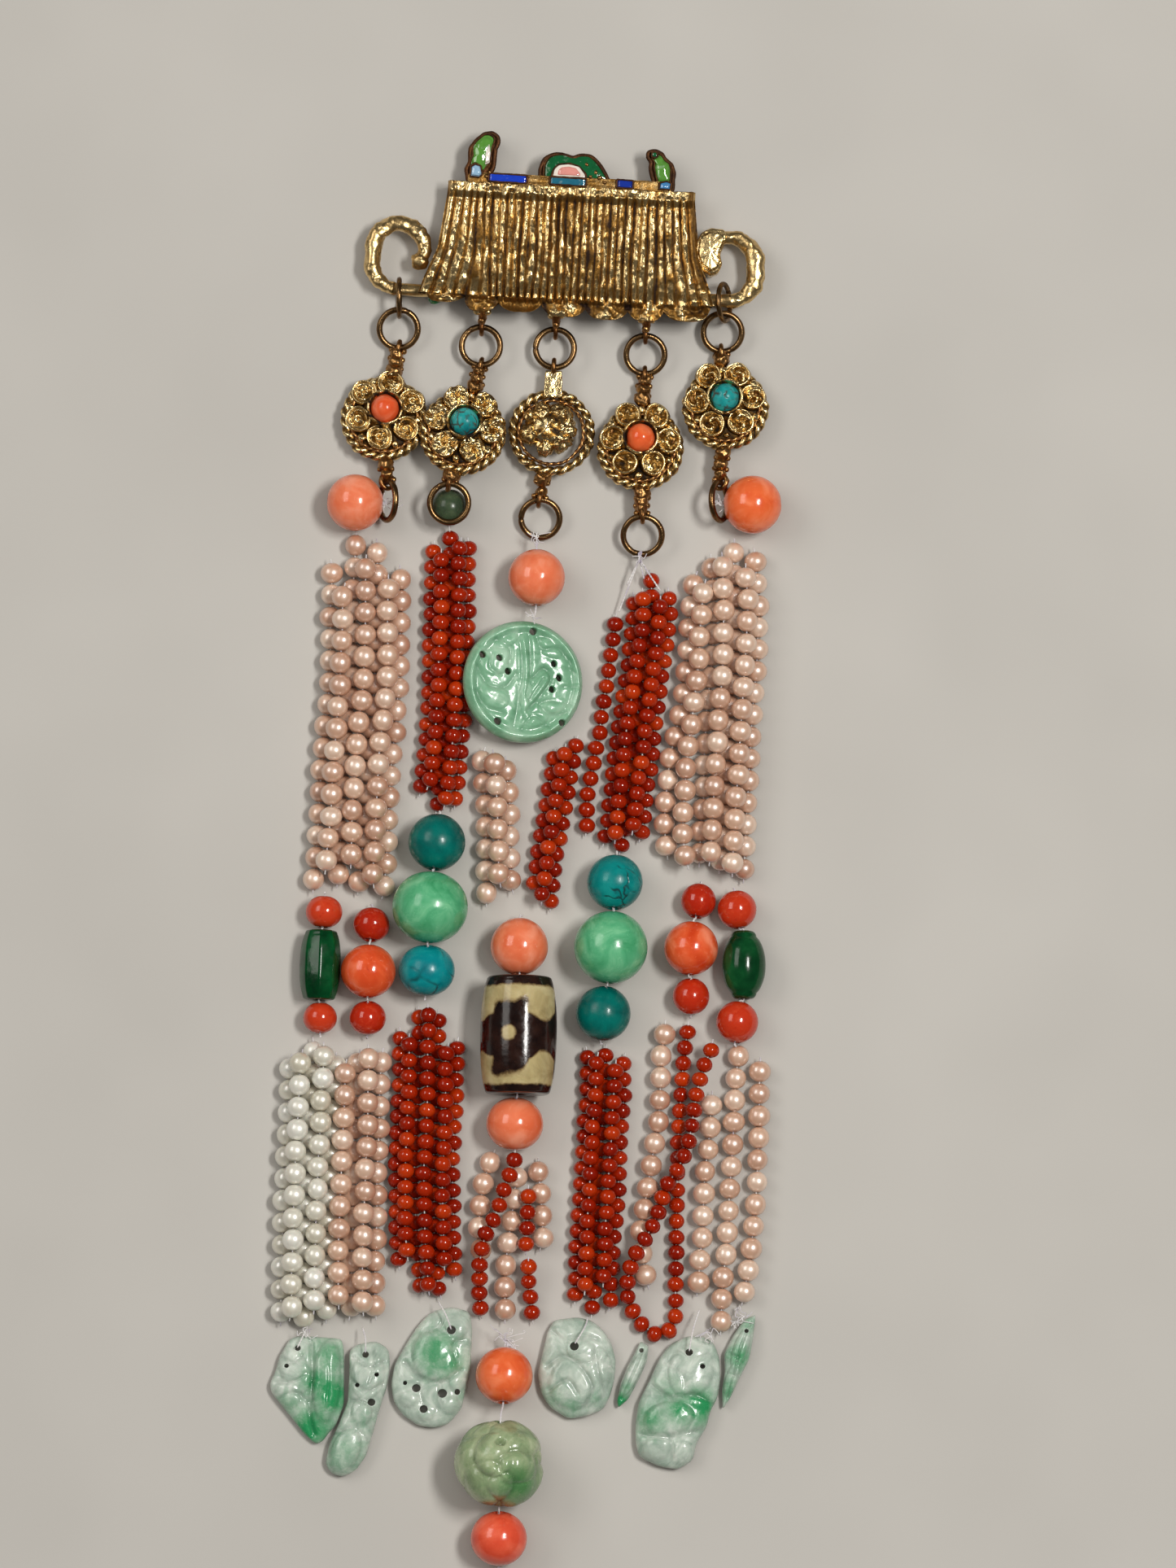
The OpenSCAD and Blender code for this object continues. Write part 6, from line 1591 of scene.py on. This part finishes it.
def cabochon(n, place, material, slot):
    """A domed stone, a little uneven, deep in its bezel."""
    rows, segs = 22, 48
    t = np.linspace(0, 1, rows)
    r = 1.95 * np.cos(t * math.pi / 2 * 0.985)
    z = 2.2 + 2.0 * np.sin(t * math.pi / 2) ** 1.1
    v = lathe(np.stack([r, z], -1), segs)
    v = v + 0.09 * noise(v, 1.3, n)[..., None] * [1, 1, 0.6]
    v = np.concatenate([v.reshape(-1, 3), [[0, 0, z[-1]], [0, 0, z[0]]]])
    s = Shape()
    s.add(put(place, v), capped(rows, segs))
    s.piece(f"cabochon_{n}", "domed", [material])


def flower_back(s, place):
    """The back of the middle rosette, which faces up: a crumpled boss among the backs of its petals."""
    back = place @ spin("y", 180) @ move(-0.5, 0.5, -0.1)
    profile = [(2.3, 0.0), (2.4, 0.4), (2.2, 0.9), (1.7, 1.3), (1.1, 1.5), (0.5, 1.6), (0.05, 1.6)]
    turned_body(s, back, profile, [0.8, 0.5, 0.3, 0.2, 0.15, 0.1, 0.1], 60, 0.4, 41)
    rng = np.random.default_rng(6)
    for k in range(7):
        a = 2 * math.pi * (k + rng.uniform(-0.2, 0.2)) / 7
        at = [2.5 * math.cos(a), 2.5 * math.sin(a), 0.0]
        ball(s, back, at, rng.uniform(1.2, 1.5), 30, 20, seed=k, lumps=0.42, deep=rng.uniform(0.05, 0.3))
    rope(s, place, 4.35, 0.26, 0.1, twists=30, seed=33, segs=160, sides=8, mat=1)


STONES = {1: (SALMON_CLOUDED, "coral_pink"), 2: (TURQUOISE_STONE, "turquoise"),
          4: (SALMON_ORANGE, "coral_pink"), 5: (TURQUOISE_STONE, "turquoise")}


def rosette(n):
    """The rosette with the number n from the left. The third lies on its face."""
    x, y, z, turn, tilt, up, low, swing, roll = ROSETTES[n - 1]
    place = LAID @ move(x, y, z) @ spin("x", -tilt) @ spin("z", turn)
    if n == 3:
        place = place @ spin("y", 180)
    s = Shape()
    rope(s, place, 5.25, 0.66, 0.6, twists=24, seed=n)
    if n == 3:
        flower_back(s, place)
        strap = [[-1.25, 4.7], [1.25, 4.7], [1.15, up - 0.6], [-1.15, up - 0.6]]
        back = place @ spin("y", 180) @ move(0, 0, -0.6)
        block(s, strap, -0.1, 0.75, round_=0.15, seed=5, place=back, deep=0.1)
        loop(s, place @ move(0, up, 0.6) @ spin("y", 90))
    else:
        rope(s, place, 4.6, 0.34, 0.95, twists=30, seed=n + 9, segs=160, sides=8, mat=1)
        # the plate under the petals, dark all over: painted shade in the gaps between the petals
        turned_body(s, place, [(5.0, 0.3), (5.05, 0.55), (4.9, 0.8), (0.3, 0.82)], [1.0, 1.0, 0.9, 0.9], 48,
                    0.02, n)
        phase = 30 if n == 1 else 0
        rng = np.random.default_rng(n)
        for k in range(6):
            petal(s, place, 60 * k + phase, n, seed=10 * n + k)
            a = math.radians(60 * k + phase + 30)
            gap = place @ move(0, FLOWER_SHIFT * 0.6)
            at = [4.55 * math.cos(a), 4.55 * math.sin(a), 1.1]
            ball(s, gap, at, rng.uniform(0.45, 0.65), 14, 10, seed=k, lumps=0.14, deep=0.1)
        cup(s, place @ move(0, FLOWER_SHIFT), n)
        stem(s, place, 6.7, up, 0, n)
    stem(s, place @ spin("z", 180 + swing), 6.3, low, roll, n + 20)
    s.piece(f"rosette_{n}", "worked", [GILT_FOIL, GILT_BROWN])
    if n in STONES:
        cabochon(n, place @ move(0, FLOWER_SHIFT), *STONES[n])


for number in range(1, 6):
    rosette(number)

# Threads


def centre_of(b):
    return np.array([b[0], b[1], b[2] / 2 + CLEAR])


def axis_of(b):
    p, w = math.radians(b[4]), math.radians(b[5])
    return np.array([-math.sin(w) * math.cos(p), math.cos(w) * math.cos(p), math.sin(p)])


def column_line(c, start, end):
    """Path of the thread through a column of beads, from start to end."""
    pts = [np.array(start, float)]
    for b in c:
        for side in (1, 0, -1):
            pts.append(centre_of(b) + side * b[3] / 2 * axis_of(b))
    pts.append(np.array(end, float))
    return np.array(pts)


def twine(s, path, r=0.15):
    """Two plies twisted round each other."""
    turns_per_mm = 1.1
    p = smooth(path, 6)
    reach = lengths(p)[-1]
    t = np.linspace(0, reach, max(6, int(reach / 0.22)))
    q = points_at(p, t)
    g = unit(np.gradient(q, axis=0))
    side = np.cross(g, UP)
    side[np.linalg.norm(side, axis=1) <= 0.1] = [1, 0, 0]
    side = unit(side)
    up = np.cross(side, g)
    for ply in (0, math.pi):
        a = t * turns_per_mm * 2 * math.pi + ply
        off = (np.cos(a)[:, None] * side + np.sin(a)[:, None] * up) * r * 0.48
        tube(s, put(LAID, q + off), r * 0.55, sides=6)


def fray(s, at, count, reach, seed, lean=(0, 0)):
    """Loose curled fibres that stand out from one point."""
    rng = np.random.default_rng(seed)
    for _ in range(count):
        turn = rng.uniform(0, 2 * math.pi)
        go = np.array([math.cos(turn) + lean[0], math.sin(turn) + lean[1], rng.uniform(-0.1, 0.5)])
        steps = np.array([[0, 0, 0], 0.35 * go, 0.7 * go, go]) * reach * rng.uniform(0.5, 1.0)
        steps[1:] += rng.normal(0, 0.16 * reach, (3, 3)) * [1, 1, 0.4]
        path = smooth(at + steps, 5)
        path[:, 2] = np.maximum(path[:, 2], 0.2)
        tube(s, put(LAID, path), 0.06, sides=5)


upper = Shape()
for end in ([14.3, 35.4, 2.2], [16.6, 36.2, 2.6], [18.8, 34.6, 2.2], [13.2, 31.8, 1.6]):
    twine(upper, [[16.2, 39.9, 3.0], [16.0, 38.9, 3.1], end], r=0.13)
for seed, (at, count, reach, lean) in enumerate([
    ([-18.5, 46.3, 3.9], 10, 1.7, (0.6, 0)), ([27.3, 46.2, 3.9], 7, 1.3, (-0.5, 0)),
    ([2.1, 41.6, 3.8], 8, 1.5, (0, 0)), ([1.7, 30.9, 4.6], 6, 1.1, (0, 0)),
    ([16.1, 39.2, 3.1], 6, 1.4, (0, -0.4)),
], 1):
    fray(upper, at, count, reach, seed, lean)
for path in [
    [[2.1, 42.4, 3.4], [2.1, 40.6, 3.8], [2.1, 36.2, 3.9], [2.0, 32, 3.8], [1.6, 30.6, 4.6]],
    [[-9.7, 42.8, 2.2], [-9.7, 45.9, 2.54], [-9.7, 49.0, 2.7]],
    [[-17.4, 46.9, 3.6], [-18.2, 46.2, 3.85], [-22.4, 46.4, 3.89]],
    [[26.4, 46.7, 3.7], [27.1, 46.0, 3.95], [31.25, 46.1, 3.99]],
]:
    twine(upper, path)
upper.piece("threads_upper", "plied", [THREAD])

middle = Shape()
for c, start, end in [
    (column_a_left, (-26.4, -6.4, 3.2), (-26.9, -25.9, 3.2)),
    (column_a_right, (-20.2, -7.9, 1.4), (-20.7, -26.0, 1.4)),
    (column_b, (-11.0, 4.6, 3.0), (-12.9, -21.0, 3.0)), (column_c, (0.2, -9.5, 2.4), (-1.0, -41.8, 2.4)),
    (column_d, (12.9, -0.8, 2.6), (11.0, -26.8, 2.6)), (column_e_left, (24.2, -4.8, 1.2), (22.8, -23.2, 1.4)),
    (column_e_right, (28.6, -5.8, 2.6), (29.0, -27.2, 2.8)),
]:
    twine(middle, column_line(c, start, end))
middle.piece("threads_middle", "plied", [THREAD])

lower = Shape()
fray(lower, [-2.1, -66.8, 3.0], 16, 2.4, 6, (0, 0.2))
fray(lower, [29.8, -63.6, 1.6], 12, 2.2, 7)
fray(lower, [-28.6, -66.0, 2.0], 6, 1.5, 8)
fray(lower, [24.8, -65.6, 2.6], 8, 1.8, 9)
for path in [
    [[-11.0, -61.6, 2.6], [-10.0, -63.4, 3.8], [-9.3, -65.3, 3.7]],
    [[9.0, -63.6, 2.0], [8.6, -65.0, 3.2], [7.3, -67.2, 3.9]],
    [[24.0, -62.6, 2.0], [23.2, -65.0, 3.2], [22.6, -68.2, 4.0]],
    [[-28.8, -65.2, 2.0], [-29.4, -66.6, 2.8], [-29.9, -67.7, 3.4]],
    [[-21.2, -65.0, 2.0], [-20.8, -66.6, 3.0], [-20.8, -68.4, 3.6]],
]:
    twine(lower, path, r=0.12)
twine(lower, column_line(column_end, (-2.0, -66.9, 3.2), (-3.0, -97.2, 2.6)))
lower.piece("threads_lower", "plied", [THREAD])

# What stays from the CAD

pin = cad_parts["back_pin"]
pin.data.materials.clear()
pin.data.materials.append(PIN_BRASS)
